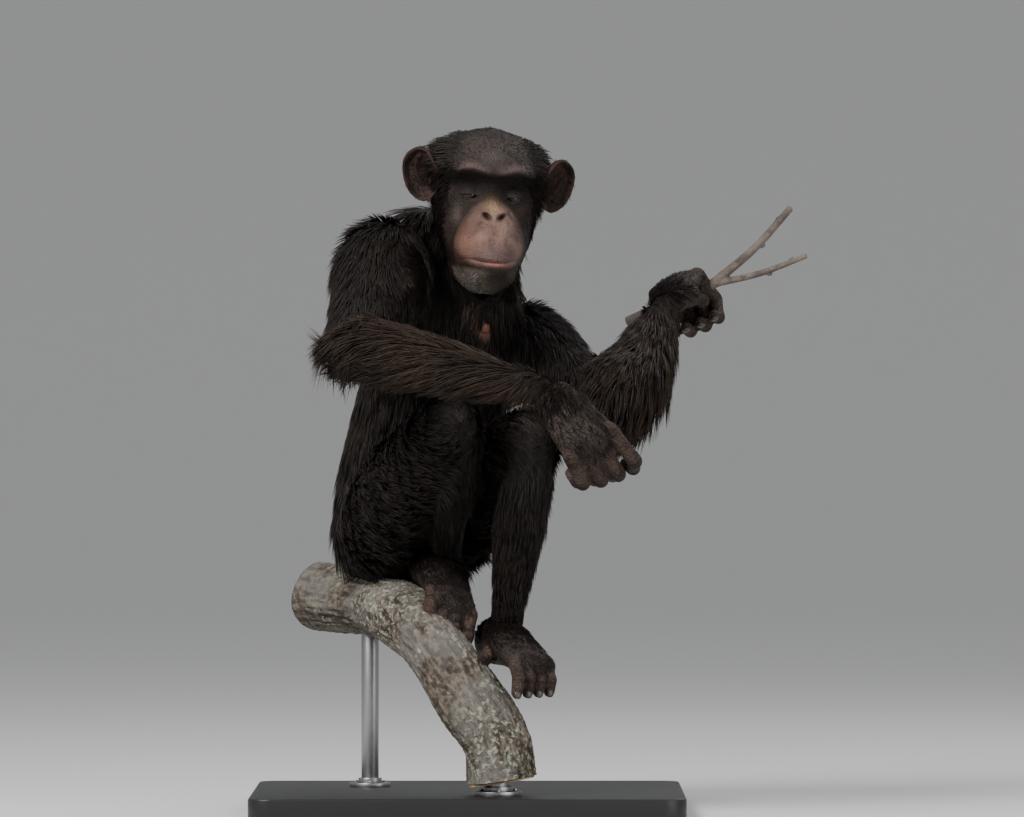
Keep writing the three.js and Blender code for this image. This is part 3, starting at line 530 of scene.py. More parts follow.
# Head: one surface of level rings, finest over the face. Skull, muzzle, brow, sockets, lids,
# nose, lips and folds are smooth hills and hollows of how far forward the face lies.
EYE_LINE = vec(-9, -100, 768)
HEAD_TURN = np.array(Euler((math.radians(4), math.radians(5), math.radians(8))).to_matrix())
EYE = {"radius": 12.0, "apart": 27.0, "forward": -15.0}
LID = 1.7
SLIT = 10.8
NOSTRIL = {"out": 9.5, "down": 24.0}
SKULL = np.array([
    # height, back, front, half width
    (-122, -44, 6, 14), (-112, -62, 14, 30), (-80, -84, 12, 46), (-36, -104, 6, 59),
    (8, -119, -2, 65), (40, -121, 2, 64), (62, -107, -16, 53), (75, -88, -38, 34),
    (80, -78, -57, 15), (83, -69, -66, 3)], float)
MUZZLE = np.array([
    # height, reach of the midline, half width
    (-122, 12, 20), (-112, 34, 27), (-98, 53, 33), (-84, 60, 39), (-70, 65, 42), (-48, 56, 39),
    (-30, 42, 32), (-14, 22, 24), (8, 6, 18), (26, 0, 16)], float)


def on_head(x, forward, z):
    """Points of the head's own frame in the pose."""
    return np.stack([x, -forward, z], axis=-1) @ HEAD_TURN.T + EYE_LINE


def in_head(points):
    """The head's own x, forward and height of points of the pose."""
    own = (points - EYE_LINE) @ HEAD_TURN
    return own[:, 0], -own[:, 1], own[:, 2]


def hill(value, centre, spread):
    return np.exp(-(((value - centre) / spread) ** 2))


def ease(value, low, high):
    """0 below low, 1 above high, smooth in the middle."""
    s = np.clip((value - low) / (high - low), 0, 1)
    return s * s * (3 - 2 * s)


def level(table, column, z):
    """A column's value at a height, smooth between the table's levels."""
    heights = table[:, 0]
    values = table[:, column]
    slopes = np.gradient(values, heights)
    z = np.clip(z, heights[0], heights[-1])
    k = np.clip(np.searchsorted(heights, z) - 1, 0, len(heights) - 2)
    step = heights[k + 1] - heights[k]
    s = (z - heights[k]) / step
    return (values[k] * (1 + 2 * s) * (1 - s) ** 2 + slopes[k] * step * s * (1 - s) ** 2
            + values[k + 1] * s * s * (3 - 2 * s) + slopes[k + 1] * step * s * s * (s - 1))


def mouth_height(x):
    return -80 + 4.5 * (np.minimum(np.abs(x + 4), 40) / 38) ** 2 - 5 * ease(-x, 26, 40)


def brow_height(side):
    return 27.5 + 6 * hill(side, 30, 16)


def face_forward(x, z):
    """How far forward the face lies at a place across and up."""
    front, back, half = (level(SKULL, column, z) for column in (2, 1, 3))
    middle = (front + back) / 2
    around = np.sqrt(np.maximum(0, 1 - (x / half) ** 2))
    forward = middle + (front - middle) * around
    reach = np.where(z > 26, 0, np.maximum(0, level(MUZZLE, 1, z) - front))
    forward += reach / (1 + (np.abs(x) / level(MUZZLE, 2, z)) ** 4.5)
    side = np.abs(x)
    ridge = 13 * hill(z, brow_height(side), 9) * (1 - ease(side, 44, 64))
    forward += ridge * (1 - 0.25 * hill(x, 0, 7))
    forward += 5 * hill(z, 60, 16) * hill(x, 0, 30)
    forward -= 7 * hill(side, 27, 19) * hill(z, 9, 14)
    forward += 7 * hill(side, 47, 13) * hill(z, -16, 15)
    forward += eyelids(side - EYE["apart"], z, forward)
    forward += nose(x, side, z)
    forward += mouth(x, z)
    forward += face_folds(x, side, z)
    return forward


def eyelids(dx, z, forward):
    """What lids add over the eyeball, with a narrow slit through which it shows."""
    apart = np.sqrt(dx ** 2 + z ** 2)
    cover = EYE["radius"] + LID
    ball = EYE["forward"] + np.sqrt(np.maximum(0, cover ** 2 - np.minimum(apart, cover) ** 2))
    blend = 7.0
    meet = np.clip(0.5 + 0.5 * (ball - forward) / blend, 0, 1)
    raised = forward + (ball - forward) * meet + blend * meet * (1 - meet) * 0.5
    raised = np.where(apart < cover, np.maximum(raised, forward), forward)
    near = 1 - ease(apart, cover - 0.5, cover + 6)
    raised -= 1.1 * hill(z, 6.6 - 0.03 * dx ** 2, 1.1) * near * hill(dx, 0, 12)
    raised -= 0.9 * hill(z, -8.6 + 0.03 * dx ** 2, 1.2) * near * hill(dx, 0, 12)
    arch = np.sqrt(np.maximum(0, 1 - (dx / SLIT) ** 2))
    above = 1.1 * arch - 1.5
    below = -3.1 * arch - 1.5
    inside = np.minimum(above - z, z - below)
    slit = ease(inside, -0.5, 0.6) * (np.abs(dx) < SLIT)
    return raised - forward - 4.5 * slit


def nose(x, side, z):
    """Low broad nose with two slanted nostrils."""
    bulge = 5 * hill(x, 0, 15) * hill(z, -17, 9) + 3.4 * hill(side, 13, 6) * hill(z, -20, 6)
    bulge += 2.4 * hill(x, 0, 4.5) * hill(z, -26, 5) - 0.7 * hill(x, 0, 1.6) * hill(z, -10, 10)
    out = side - NOSTRIL["out"]
    up = z + NOSTRIL["down"]
    turned_x = out + 0.5 * up
    turned_z = up - 0.5 * out
    nostril = np.exp(-((turned_x / 7.0) ** 2 + (turned_z / 3.9) ** 2) ** 1.5)
    wing = hill(np.hypot(out, up - 1), 13, 1.7) * ease(z, -36, -22) * ease(side, 8, 14)
    return bulge - 10 * nostril - 1.8 * wing


def mouth(x, z):
    """Closed lips: a thin line, a rolled edge above and a fuller one below, fine creases."""
    line = mouth_height(x)
    wide = 1 - ease(np.abs(x), 34, 42)
    lips = 1.1 * hill(z, line + 4.5, 3.4) + 2.2 * hill(z, line - 5, 4)
    creases = 0.22 * np.sin(x * 1.9 + 0.8 * np.sin(x * 0.5)) * hill(z, line + 3, 8)
    return wide * (lips + creases - 3.0 * hill(z, line, 1.15)) - 0.5 * hill(x, 0, 2) * hill(
        z, -56, 14)


def face_folds(x, side, z):
    """Bags under the eyes, folds from nose to mouth, furrows between brows and on the muzzle."""
    around_eye = np.hypot(side - 27, (z + 1) * 1.15)
    bags = 0.5 * np.sin(around_eye * 1.25 + 0.6 * np.sin(side * 0.35))
    bags *= hill(around_eye, 22, 7) * ease(-z, -2, 6)
    fold_line = 17 + 0.42 * np.abs(z + 24)
    fold = 3.0 * hill(side, fold_line, 3.2) * ease(z, -74, -58) * (1 - ease(z, -26, -12))
    furrows = 0.8 * np.sin(z * 1.1) * hill(x, 0, 9) * hill(z, 10, 13)
    upper = 0.45 * np.sin(z * 1.3 + 0.012 * x ** 2) * hill(z, -50, 13) * hill(x, 0, 34)
    upper += 0.7 * np.sin(side * 0.9 + z * 0.35) * hill(side, 47, 10) * hill(z, -46, 22)
    return bags - fold + furrows + upper


HEAD_LEVELS = np.concatenate([
    np.arange(-121, -92, 1.9), np.arange(-92, 24, 1.1), np.arange(24, 50, 1.5),
    np.arange(50, 74, 2.0), np.arange(74, 83.1, 1.0)])
HEAD_AROUND = 184
turn_share = 2 * np.arange(HEAD_AROUND) / HEAD_AROUND - 1
head_angle = np.pi * (0.36 * turn_share + 0.64 * turn_share ** 3)[None, :]
z_grid = np.repeat(HEAD_LEVELS[:, None], HEAD_AROUND, axis=1)
half_grid, back_grid, front_grid = (level(SKULL, column, z_grid) for column in (3, 1, 2))
x_grid = half_grid * np.sin(head_angle)
plain_grid = (front_grid + back_grid) / 2 + (front_grid - back_grid) / 2 * np.cos(head_angle)
face_share = ease(np.cos(head_angle) + 0 * z_grid, 0, 0.25)
forward_grid = plain_grid + (face_forward(x_grid, z_grid) - plain_grid) * face_share
pieces_of_skin.append(body_object("head_flesh", [on_head(x_grid, forward_grid, z_grid)]))

# Ears: thin cups turned forward, with a rolled rim, a ridge inside it and a deep hollow by
# the head.
EAR = {"half": 34.0, "width": 24.0, "thick": 3.4}
for sign in (-1, 1):
    outward = HEAD_TURN @ unit(vec(sign * 0.86, 0.5, 0))
    upward = HEAD_TURN @ unit(vec(sign * 0.12, 0, 1))
    facing = unit(np.cross(outward, upward)) * sign
    middle = on_head(sign * 84.0, -52.0, 19.0)
    radius = np.linspace(0.02, 1, 22)[:, None]
    angle = round_about(60)[None, :]
    out = radius * np.cos(angle) * EAR["width"] * (1 + 0.05 * np.sin(2 * angle))
    up = radius * np.sin(angle) * EAR["half"] * (1 + 0.04 * np.cos(3 * angle))
    rim = 5.2 * hill(radius, 0.9, 0.075) * ease(np.cos(angle - 0.9), -0.9, 0.1)
    groove = -2.6 * hill(radius, 0.78, 0.06) * ease(np.cos(angle - 0.8), -0.6, 0.1)
    ridge = 4.0 * hill(np.hypot(out + 9, 0.8 * up - 1), 17 + 0.12 * up, 3.2) * ease(out, -9, 4)
    ridge += 2.4 * hill(out - 0.55 * up + 10, 0, 3.4) * ease(up, 6, 14) * (1 - ease(up, 20, 27))
    bowl = -10 * hill(np.hypot(out + 9, 0.8 * up + 5), 0, 11) - 3 * (1 - radius ** 2)
    lobe = 3.2 * hill(np.hypot(out + 10, up + 22), 0, 7)
    height = rim + groove + ridge + bowl + lobe + 6 * radius ** 2
    thick = EAR["thick"] * (1 + 1.6 * hill(out, -EAR["width"], 14))
    front_side = (middle + outward * out[..., None] + upward * up[..., None]
                  + facing * height[..., None])
    back_side = front_side - facing * (thick + 0 * height)[..., None]
    inset = back_side - unit(back_side - middle) * 1.2
    pieces_of_skin.append(body_object("ear_flesh", [np.concatenate([front_side, inset[::-1]])]))

# Nipple: a small soft cone, the one bare form on the chest. With it in place, head, ears,
# hands, feet and nipple are joined to the flesh of trunk and limbs as one skin.
chest = TUBES["torso"].grid(64).reshape(-1, 3)
nipple = chest[(np.hypot(chest[:, 0] + 22, chest[:, 2] - 606) + 0.02 * chest[:, 1]).argmin()]
outward = unit(nipple - vec(-64, 76, 600))


def face_outward(thing):
    """Turns all faces of a thing's closed forms outward."""
    make_active(thing)
    bpy.ops.object.mode_set(mode="EDIT")
    bpy.ops.mesh.select_all(action="SELECT")
    bpy.ops.mesh.normals_make_consistent(inside=False)
    bpy.ops.object.mode_set(mode="OBJECT")


pieces_of_skin.append(body_object("nipple_flesh", [Tube(
    [nipple - 6 * outward, nipple, nipple + 4 * outward],
    [(10, 10), (7.4, 7.4), (4.6, 4.6)], (0, 0, 1), (2, 5), 0, rings=16).grid(24)]))

for piece in pieces_of_skin:
    face_outward(piece)
    bpy.ops.object.mode_set(mode="EDIT")
    bpy.ops.mesh.quads_convert_to_tris()
    bpy.ops.object.mode_set(mode="OBJECT")
    apply(skin, "BOOLEAN", {"operation": "UNION", "solver": "MANIFOLD", "object": piece})
    bpy.data.objects.remove(piece)

# Layout of the skin: which part of the body each of its points belongs to, and how far across,
# forward and up the face it is. Colours, creases and hair are placed by these.


def read(rows, field, width, kind):
    """A field of every row of a mesh's data."""
    values = np.empty(len(rows) * width, kind)
    rows.foreach_get(field, values)
    return values.reshape(-1, width)


skin.data.calc_loop_triangles()
skin_count = len(skin.data.vertices)
skin_points = read(skin.data.vertices, "co", 3, np.float32).astype(float) * 1000 - ORIGIN
triangles = read(skin.data.loop_triangles, "vertices", 3, np.int32)
corners = skin_points[triangles]
crossed = np.cross(corners[:, 1] - corners[:, 0], corners[:, 2] - corners[:, 0])
areas = np.linalg.norm(crossed, axis=1) / 2
skin_normals = np.zeros_like(skin_points)
for corner in range(3):
    np.add.at(skin_normals, triangles[:, corner], crossed)
skin_normals = unit(skin_normals)
EXTREMITY_TUBES = {name: parts[0] for name, parts in EXTREMITIES.items()}
DIGIT_TUBES = {f"digit_{k}": item["tube"] for k, item in enumerate(digits)}
ALL_TUBES = {**TUBES, **EXTREMITY_TUBES, **DIGIT_TUBES}
TUBE_NAMES = list(ALL_TUBES)
found = [tube.nearest(skin_points) for tube in ALL_TUBES.values()]
part = np.stack([out for out, _ in found]).argmin(axis=0)
part_step = np.stack([step for _, step in found])[part, np.arange(skin_count)]
head_x, head_forward, head_z = in_head(skin_points)
in_head_box = (head_z > -124) & (head_z < 90) & (np.abs(head_x) < 112) & (head_forward > -128)
neck_side = head_forward + 0.62 * (head_z + 60)
is_head = in_head_box & ((neck_side > -62) | (head_z > 20))
is_ear = is_head & (np.abs(head_x) > level(SKULL, 3, head_z) + 1.5) & (head_z > -22)
is_bare_limb = ~is_head & (part >= len(TUBES))


def on_parts(*starts):
    """Which points of the skin are on the parts whose names start so."""
    return np.isin(part, [i for i, name in enumerate(TUBE_NAMES) if name.startswith(starts)])


def away_from(place):
    """How far each point of the skin is from a place."""
    return np.linalg.norm(skin_points - place, axis=1)


def mark(mesh, name, values):
    """A number at each point of a mesh, for its material to read."""
    layer = mesh.attributes.new(name, "FLOAT", "POINT")
    layer.data.foreach_set("value", np.asarray(values, np.float32).ravel())


# Skin: dark grey-brown and finely creased on hands and feet, with a pinkish tan muzzle, a yellower
# nose, a warm cheek and grey-brown over the forehead; the near black under the brow is painted
# shade.
MUZZLE_COLOUR = np.array([
    # height, half width of the light skin
    (-98, 8), (-88, 20), (-78, 31), (-66, 39), (-47, 37), (-22, 27), (-8, 17), (2, 10)], float)
head_side = np.abs(head_x)
front_of = {reach: is_head * (head_forward > reach) for reach in (-40, -30, -5, 0, 10, 20)}
share = {"face": is_head, "ear": is_ear, "bare": is_bare_limb}
share["muzzle"] = (is_head * ease(head_forward, -2, 14) * (1 - ease(head_z, -15, -3))
                   * ease(level(MUZZLE_COLOUR, 1, head_z) - head_side, -7, 6)
                   * ease(head_z, -92, -80))
share["nose"] = front_of[0] * hill(np.hypot(head_x + 2, (head_z + 14) * 0.9), 0, 8.5)
share["forehead"] = is_head * ease(head_z, 26, 38) * ease(head_forward, -78, -40)
# Pinkish skin along the brow ridge, set on its lit upper side: partly skin colour, partly painted
# highlight.
share["brow"] = front_of[-30] * hill(head_z, brow_height(head_side) + 4, 5.5) * (
    1 - ease(head_side, 36, 54)) * (1 - 0.85 * hill(head_x, 0, 13))
# Painted shade: the near-black band under the brow ridge, down over the eyes.
share["socket"] = front_of[-40] * hill(head_z, 16, 15) * (1 - ease(head_side, 44, 62))
share["lid"] = front_of[-30] * hill(
    np.hypot(head_side - EYE["apart"], head_z * 1.9 + 2), 0, 13)
# Painted shade: near black inside the nostril hollows.
from_nostril = head_side - NOSTRIL["out"]
share["nostril"] = front_of[20] * hill(np.hypot(
    from_nostril / 1.5, head_z + NOSTRIL["down"] - 0.5 * from_nostril), 0, 3.9)
share["lip"] = front_of[20] * hill(head_z, mouth_height(head_x) - 2.0, 1.7) * hill(head_x, 4, 13)
share["cheek"] = front_of[10] * hill(head_x, -32, 16) * hill(head_z, -58, 20)
share["mauve"] = front_of[10] * hill(head_x, 13, 26) * hill(head_z, -69, 11)
# Chin: paler on the viewer's left; the dip under the lower lip is left dark as painted shade.
share["chin"] = front_of[-5] * (1 - ease(head_z, -94, -86)) * (
    0.3 + 0.7 * ease(-head_x, -22, 10)) * (
    1 - 0.8 * hill(np.hypot(head_x - 6, (head_z + 93) * 1.3), 0, 14))
# Painted highlight: a lighter patch on the cheek fold beside the nose, on the viewer's left.
share["fold"] = is_head * hill(np.hypot((head_x + 43) / 6, (head_z + 28) / 11), 0, 1)
share["boss"] = is_head * hill(np.hypot(head_x + 4, head_z - 48), 0, 17)
# Knees: lighter bare skin on the right knee, and a weaker patch at the front of the left shin that
# is painted sheen.
share["knee"] = ~is_head * np.maximum(
    hill(away_from(JOINTS["knee_right"] + vec(0, -34, 14)), 0, 50),
    0.6 * hill(away_from(JOINTS["knee_left"] + vec(8, -30, -10)), 0, 44))
from_nipple = away_from(nipple + 3 * outward)
share["chest"] = ~is_head * np.maximum(
    hill(from_nipple, 0, 22), hill(away_from(nipple - vec(27, 6, -18)), 0, 30))
share["nipple"] = hill(from_nipple, 2, 12)
on_right_foot = away_from(JOINTS["ankle_right"] + vec(30, -80, -60)) < 95
share["toe"] = on_parts("digit") * np.where(on_right_foot, 1, 0.6)

# Creases lie across the digits, by how deep they are and how far from the joint.
share["crease"] = np.zeros(skin_count)
share["run"] = np.zeros(skin_count)
for k, item in enumerate(digits):
    mine = part == TUBE_NAMES.index(f"digit_{k}")
    for joint in item["joints"]:
        along = np.abs(part_step - item["tube"].nearest(joint[None])[1][0])
        away = along * item["tube"].length / len(item["tube"].centres)
        share["crease"] = np.where(
            mine, np.maximum(share["crease"], hill(away, 0, 8)), share["crease"])
        share["run"] = np.where(mine & (away < 16), away, share["run"])
for name, values in share.items():
    mark(skin.data, name, values)

hide = Finish("bare skin", {"Roughness": 0.6, "Specular IOR Level": 0.15,
                            "Specular Tint": (1.0, 0.88, 0.82, 1)})
blotch = hide.between(hide.noise(28, 4), 0.38, 0.62)
fine = hide.noise(420, 3)
colour = hide.mix(blotch, (0.010, 0.008, 0.0075), (0.017, 0.013, 0.0115))
PATCHES = (
    # place, strength, the noise that breaks it up, one colour or two in blotches
    ("face", 1, None, (0.009, 0.0064, 0.0055), (0.018, 0.0118, 0.0096)),
    ("forehead", 1, None, (0.020, 0.0155, 0.0140), (0.036, 0.0285, 0.0255)),
    ("boss", 0.75, None, (0.056, 0.045, 0.041)),
    # knee skin, and painted sheen on the left shin
    ("knee", 0.85, None, (0.072, 0.058, 0.053)),
    ("chest", 0.85, None, (0.090, 0.058, 0.049)),
    ("nipple", 0.85, None, (0.190, 0.078, 0.060)),
    # painted highlight on the cheek fold
    ("fold", 0.5, None, (0.085, 0.062, 0.050)),
    # painted shade under the brow
    ("socket", 0.95, None, (0.0055, 0.0045, 0.0045)),
    ("lid", 0.6, None, (0.032, 0.027, 0.026)),
    # skin colour and painted highlight on the brow ridge
    ("brow", 0.75, None, (0.088, 0.058, 0.056)),
    ("muzzle", 1, (55, 4, 0.1, 0.42), (0.090, 0.054, 0.044), (0.166, 0.104, 0.086)),
    ("cheek", 0.5, None, (0.150, 0.068, 0.044)),
    ("mauve", 0.85, None, (0.068, 0.045, 0.043)),
    ("nose", 0.7, None, (0.270, 0.180, 0.105)),
    ("chin", 0.85, (60, 4, 0.2, 0.6), (0.088, 0.070, 0.059)),
    ("lip", 0.85, None, (0.320, 0.090, 0.095)),
    # painted shade in the nostrils
    ("nostril", 1, None, (0.006, 0.002, 0.002)),
    ("ear", 1, None, (0.011, 0.0065, 0.0055), (0.034, 0.0175, 0.0140)),
    ("bare", 1, None, (0.015, 0.0115, 0.0100), (0.034, 0.0262, 0.0228)),
    ("toe", 0.7, (45, 3, 0.3, 0.6), (0.086, 0.054, 0.043)),
)
for name, strength, broken, *tints in PATCHES:
    covered = hide.attribute(name) * strength
    if broken:
        scale, detail, low, high = broken
        covered = covered * hide.between(hide.noise(scale, detail), low, high)
    tint = hide.mix(blotch, *tints) if len(tints) == 2 else tints[0]
    colour = hide.mix(covered, colour, tint)
freckle = hide.between(hide.noise(230, 2), 0.62, 0.72)
colour = hide.mix(freckle * 0.35, colour, (0.020, 0.014, 0.012))
ridges = hide.maths("SINE", hide.attribute("run") * 1.9)
bent = hide.node("ShaderNodeVectorMath", {"operation": "ADD"}, {
    0: hide.place(), 1: hide.node("ShaderNodeVectorMath", {"operation": "SCALE"}, {
        0: hide.node("ShaderNodeTexNoise", {}, {"Scale": 60.0, "Vector": hide.place()}, 1),
        "Scale": 0.012})})
creases = hide.between(hide.cells(150, "DISTANCE_TO_EDGE", bent), 0.0, 0.16)
wrinkled = hide.maths("MAXIMUM", hide.attribute("bare"), hide.attribute("face") * 0.3)
relief = (fine * 0.45 + hide.cells(260, "DISTANCE_TO_EDGE") * 0.8 + creases * wrinkled * 0.95
          + hide.attribute("crease") * ridges * 0.8 + hide.noise(90, 4) * 0.6)
skin.data.materials.clear()
skin.data.materials.append(hide.finish(
    colour, roughness=0.44 + hide.noise(60, 3) * 0.28 + hide.attribute("socket") * 0.3,
    relief=relief, depth=0.0013))
make_active(skin)
bpy.ops.object.shade_smooth()
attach(skin, "root")
FLESH_NODES = ["head", "neck", "torso"] + [
    f"{part_name}_{side}" for side in ("right", "left")
    for part_name in ("ear", "hand", "foot", "forearm", "upper_arm", "shin", "thigh")]
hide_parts(*FLESH_NODES)

# Eyes: glossy dark brown balls with a swelling cornea, set in the sockets behind the lids and
# looking a little down.
EYE_WHITE = (0.012, 0.0075, 0.006)
PUPIL_EDGE = (2.2, 2.6)
IRIS_EDGE = (5.4, 6.2)
CORNEA = {"radius": 6.2, "height": 1.1}
ball = Finish("eye", {"Roughness": 0.12, "Specular IOR Level": 0.35})
distance = ball.attribute("iris")
brown = ball.mix(ball.noise(900, 3), (0.007, 0.0032, 0.0018), (0.015, 0.0070, 0.0040))
brown = ball.mix(ball.between(distance, *IRIS_EDGE), brown, EYE_WHITE)
eye_material = ball.finish(ball.mix(ball.between(distance, *PUPIL_EDGE), (0.002,) * 3, brown))


def turned_to(way, place):
    """The move that turns a primitive's +Z to a way and sets it at a place in millimetres."""
    move = Vector(way).to_track_quat("Z", "Y").to_matrix().to_4x4()
    move.translation = (place + ORIGIN) / 1000
    return move


for name, sign in (("right", -1), ("left", 1)):
    deselect_all()
    bpy.ops.mesh.primitive_uv_sphere_add(segments=48, ring_count=32, radius=EYE["radius"] / 1000)
    eye = bpy.context.object
    eye.name = f"eyeball_{name}"
    from_middle = []
    for vertex in eye.data.vertices:
        out = math.hypot(vertex.co.x, vertex.co.y) * 1000
        if vertex.co.z > 0:
            swell = math.exp(-((out / CORNEA["radius"]) ** 4))
            vertex.co.z += CORNEA["height"] / 1000 * swell
        from_middle.append(out if vertex.co.z > 0 else EYE["radius"])
    mark(eye.data, "iris", from_middle)
    gaze = unit(HEAD_TURN @ vec(0.05, -1, -0.16))
    eye.data.transform(turned_to(gaze, on_head(sign * EYE["apart"], EYE["forward"], 0.0)))
    bpy.ops.object.shade_smooth()
    eye.data.materials.append(eye_material)
    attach(eye, "root")
    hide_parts(f"eye_{name}")

# Coat: coarse straight hair, black with brown tips, rooted in the skin as thin solid tufts.
# A tuft stands off a little, sinks with its weight, and is drawn to its neighbours' tips. Hair
# is long and glossy on trunk and limbs, short and dull on head, hands and feet.
TUFTS = 12300
SHORT_TUFTS = 7300
TUFT_STATIONS = np.array([0, 0.34, 0.7])
TUFT_TAPER = np.array([0.75, 1.0, 0.62])
UV_PATCH = 0.003
HAIR_LENGTHS = {"torso": 52, "neck": 44, "upper_arm": 47, "forearm": 48, "thigh": 46,
                "shin": 34, "hand": 11, "foot": 10, "digit": 4}
luck = np.random.default_rng(7)
edges = read(skin.data.edges, "vertices", 2, np.int32)
degree = np.bincount(edges.ravel(), minlength=skin_count)


def even_out(values, rounds):
    """Values of the skin's points, averaged with their neighbours'."""
    values = np.array(values, float).reshape(skin_count, -1)
    for _ in range(rounds):
        total = values.copy()
        for column in range(values.shape[1]):
            total[:, column] += np.bincount(edges[:, 0], values[edges[:, 1], column], skin_count)
            total[:, column] += np.bincount(edges[:, 1], values[edges[:, 0], column], skin_count)
        values = total / (1 + degree)[:, None]
    return values


def ripple(points, wavelength, turn):
    """A smooth unevenness between -1 and 1 over the body."""
    run = points / wavelength * 2 * np.pi
    return (np.sin(run @ vec(0.8, 0.3, 0.5) + turn) + np.sin(run @ vec(-0.4, 0.9, 0.2) + 2 * turn)
            + np.sin(run @ vec(0.3, -0.5, 0.8) + 3 * turn)) / 3


down = vec(0, 0, -1)
lie = np.zeros_like(skin_points)
length = np.zeros(skin_count)
density = np.ones(skin_count)

# Along trunk and limbs the hair lies downward, but on the forearms it runs to the elbow.
for index, (name, tube) in enumerate(ALL_TUBES.items()):
    mine = (part == index) & ~is_head
    step = part_step[mine]
    heading = tube.tangents[step]
    if name.startswith(("forearm", "hand")):
        turned = ease(step, 38, 56) if name.startswith("forearm") else 1 + ease(step, 0, 20)
        turned = turned[:, None] * np.pi / 2
        around = unit(np.cross(heading, skin_normals[mine]))
        lie[mine] = around * np.sin(turned) - heading * np.cos(turned) + 0.25 * down
    else:
        towards = -1 if name.startswith(("torso", "neck")) else 1
        lie[mine] = towards * heading + 0.4 * down
    length[mine] = next(value for key, value in HAIR_LENGTHS.items() if name.startswith(key))

# Towards hands and feet it grows short, and palms, soles and digits are bare.
PALMS = {"hand_right": PALM_RIGHT, "hand_left": PALM_LEFT, "foot_right": down,
         "foot_left": down}
for name, palm in PALMS.items():
    mine = on_parts(name) & ~is_head
    is_foot = name.startswith("foot")
    density[mine] = 0.9 * ease(-(skin_normals[mine] @ unit(palm)), -0.1, 0.5)
    reach = away_from(JOINTS[("ankle_" if is_foot else "wrist_") + name.split("_")[1]])
    shorter = 1 - (0.25 if is_foot else 0.6) * (1 - ease(reach, 15, 95))
    length = np.where((part < len(TUBES)) & ~is_head, length * shorter, length)
    reach = reach[mine]
    length[mine] += 9 * (1 - ease(reach, 15, 55))
    if is_foot:
        density[mine] *= (1 - 0.75 * ease(reach, 40, 100)) * (2 - ease(reach, 20, 60))
    else:
        density[mine] *= 0.75 * (1 - 0.7 * ease(reach, 5, 60))
density[on_parts("digit") & ~is_head] = 0.04

# Knees and the chest round the nipple show skin, and a long fringe hangs from the left arm.
for name, thinner in (("knee_right", 0.85), ("knee_left", 0.55)):
    near = hill(away_from(JOINTS[name] + vec(0, -30, 20)), 0, 62)
    length *= 1 - 0.62 * near
    density *= 1 - thinner * near
density *= (1 - 0.75 * share["chest"]) * (1 - ease(-from_nipple, -16, -11))
above_chest = ~is_head * hill(np.linalg.norm(
    (skin_points - nipple + vec(16, 0, -42)) * (1, 0.6, 0.8), axis=1), 0, 40)
length *= 1 - 0.72 * np.maximum(above_chest, share["chest"])
fringe = on_parts("forearm_left") * ease(-skin_normals[:, 2], 0.1, 0.8)
length += 26 * fringe * (1 - ease(part_step, 34, 46))

# On the head it lies back from the bare face and stands off at cheeks and temples.
bare_face = (1 - ease(np.hypot(head_x / 56, (head_z + 30) / 84), 0.86, 1.04)) * ease(
    head_forward, -42, -20)
beside = ease(head_side, 38, 58)
head_lie = np.stack([0.35 * head_x / 70, 1 + 0 * head_x,
                     -0.3 - 0.9 * ease(head_side, 40, 66) * ease(-head_z, -40, 0)], axis=1)
lie[is_head] = (head_lie @ HEAD_TURN.T)[is_head]
head_length = 5 + 11 * ease(-head_forward, 40, 90) + 17 * beside * ease(-head_forward, -6, 34)
head_density = 1 - 0.97 * bare_face
head_density = np.maximum(head_density, 0.55 * share["forehead"] * (1 - 0.5 * share["boss"]))
head_density = np.maximum(head_density, 0.4 * ease(head_side, 34, 50) * (head_z < 10))
head_density = np.maximum(head_density, 0.25 * share["chin"])
head_length = np.where(bare_face > 0.5, 3.6 + 4 * share["chin"], head_length)
head_length += 9 * beside * hill(head_z, 34, 26) * ease(-head_forward, 0, 40)
temple = ease(head_side, 22, 44) * hill(head_z, 54, 24) * ease(-head_forward, 10, 50)
head_length += 13 * temple
length[is_head] = head_length[is_head]
density[is_head] = head_density[is_head]
standing = np.where(on_parts("torso", "neck", "upper_arm"), 8.5, 15.5)
standing = np.where(is_head, 8 + np.maximum(
    27 * beside * ease(head_z, -30, 30) * (1 - ease(head_z, 40, 62)), 30 * temple), standing)
length[is_ear] = 7
density[is_ear] = 0.16

# Neighbouring hairs agree, forearms are browner, chin and right knee have pale hairs, and paler
# hair at the front of the left shin is painted sheen.
lie -= skin_normals * dot(lie, skin_normals)
lie = even_out(unit(lie), 22)
length = even_out(length, 3)[:, 0]
rust = even_out(on_parts("forearm") & ~is_head, 8)[:, 0]
pale_hair_and_sheen = is_head * share["chin"] * hill(head_x, -10, 26) + 0.1 * share["forehead"]
# Pale hairs at the right knee; at the front of the left shin the paler hair is painted sheen.
for place, reach in ((JOINTS["knee_right"] + vec(4, -32, 14), 40), (vec(38, -158, 450), 36)):
    pale_hair_and_sheen += 0.16 * hill(away_from(place), 0, reach) * ~is_head

triangle_part = np.where(is_head[triangles[:, 0]], -1, part[triangles[:, 0]])
triangle_front = crossed[:, 1] < 0
triangle_weight = areas * density[triangles].mean(axis=1)
DIGITS_OF = {name: range(5 * k, 5 * k + 5) for k, name in enumerate(EXTREMITIES)}


def numbers_of(*names):
    """Tube numbers of named parts, with the digits of hands and feet."""
    found = [TUBE_NAMES.index(name) for name in names]
    for name in names:
        found += [TUBE_NAMES.index(f"digit_{k}") for k in DIGITS_OF.get(name, ())]
    return found


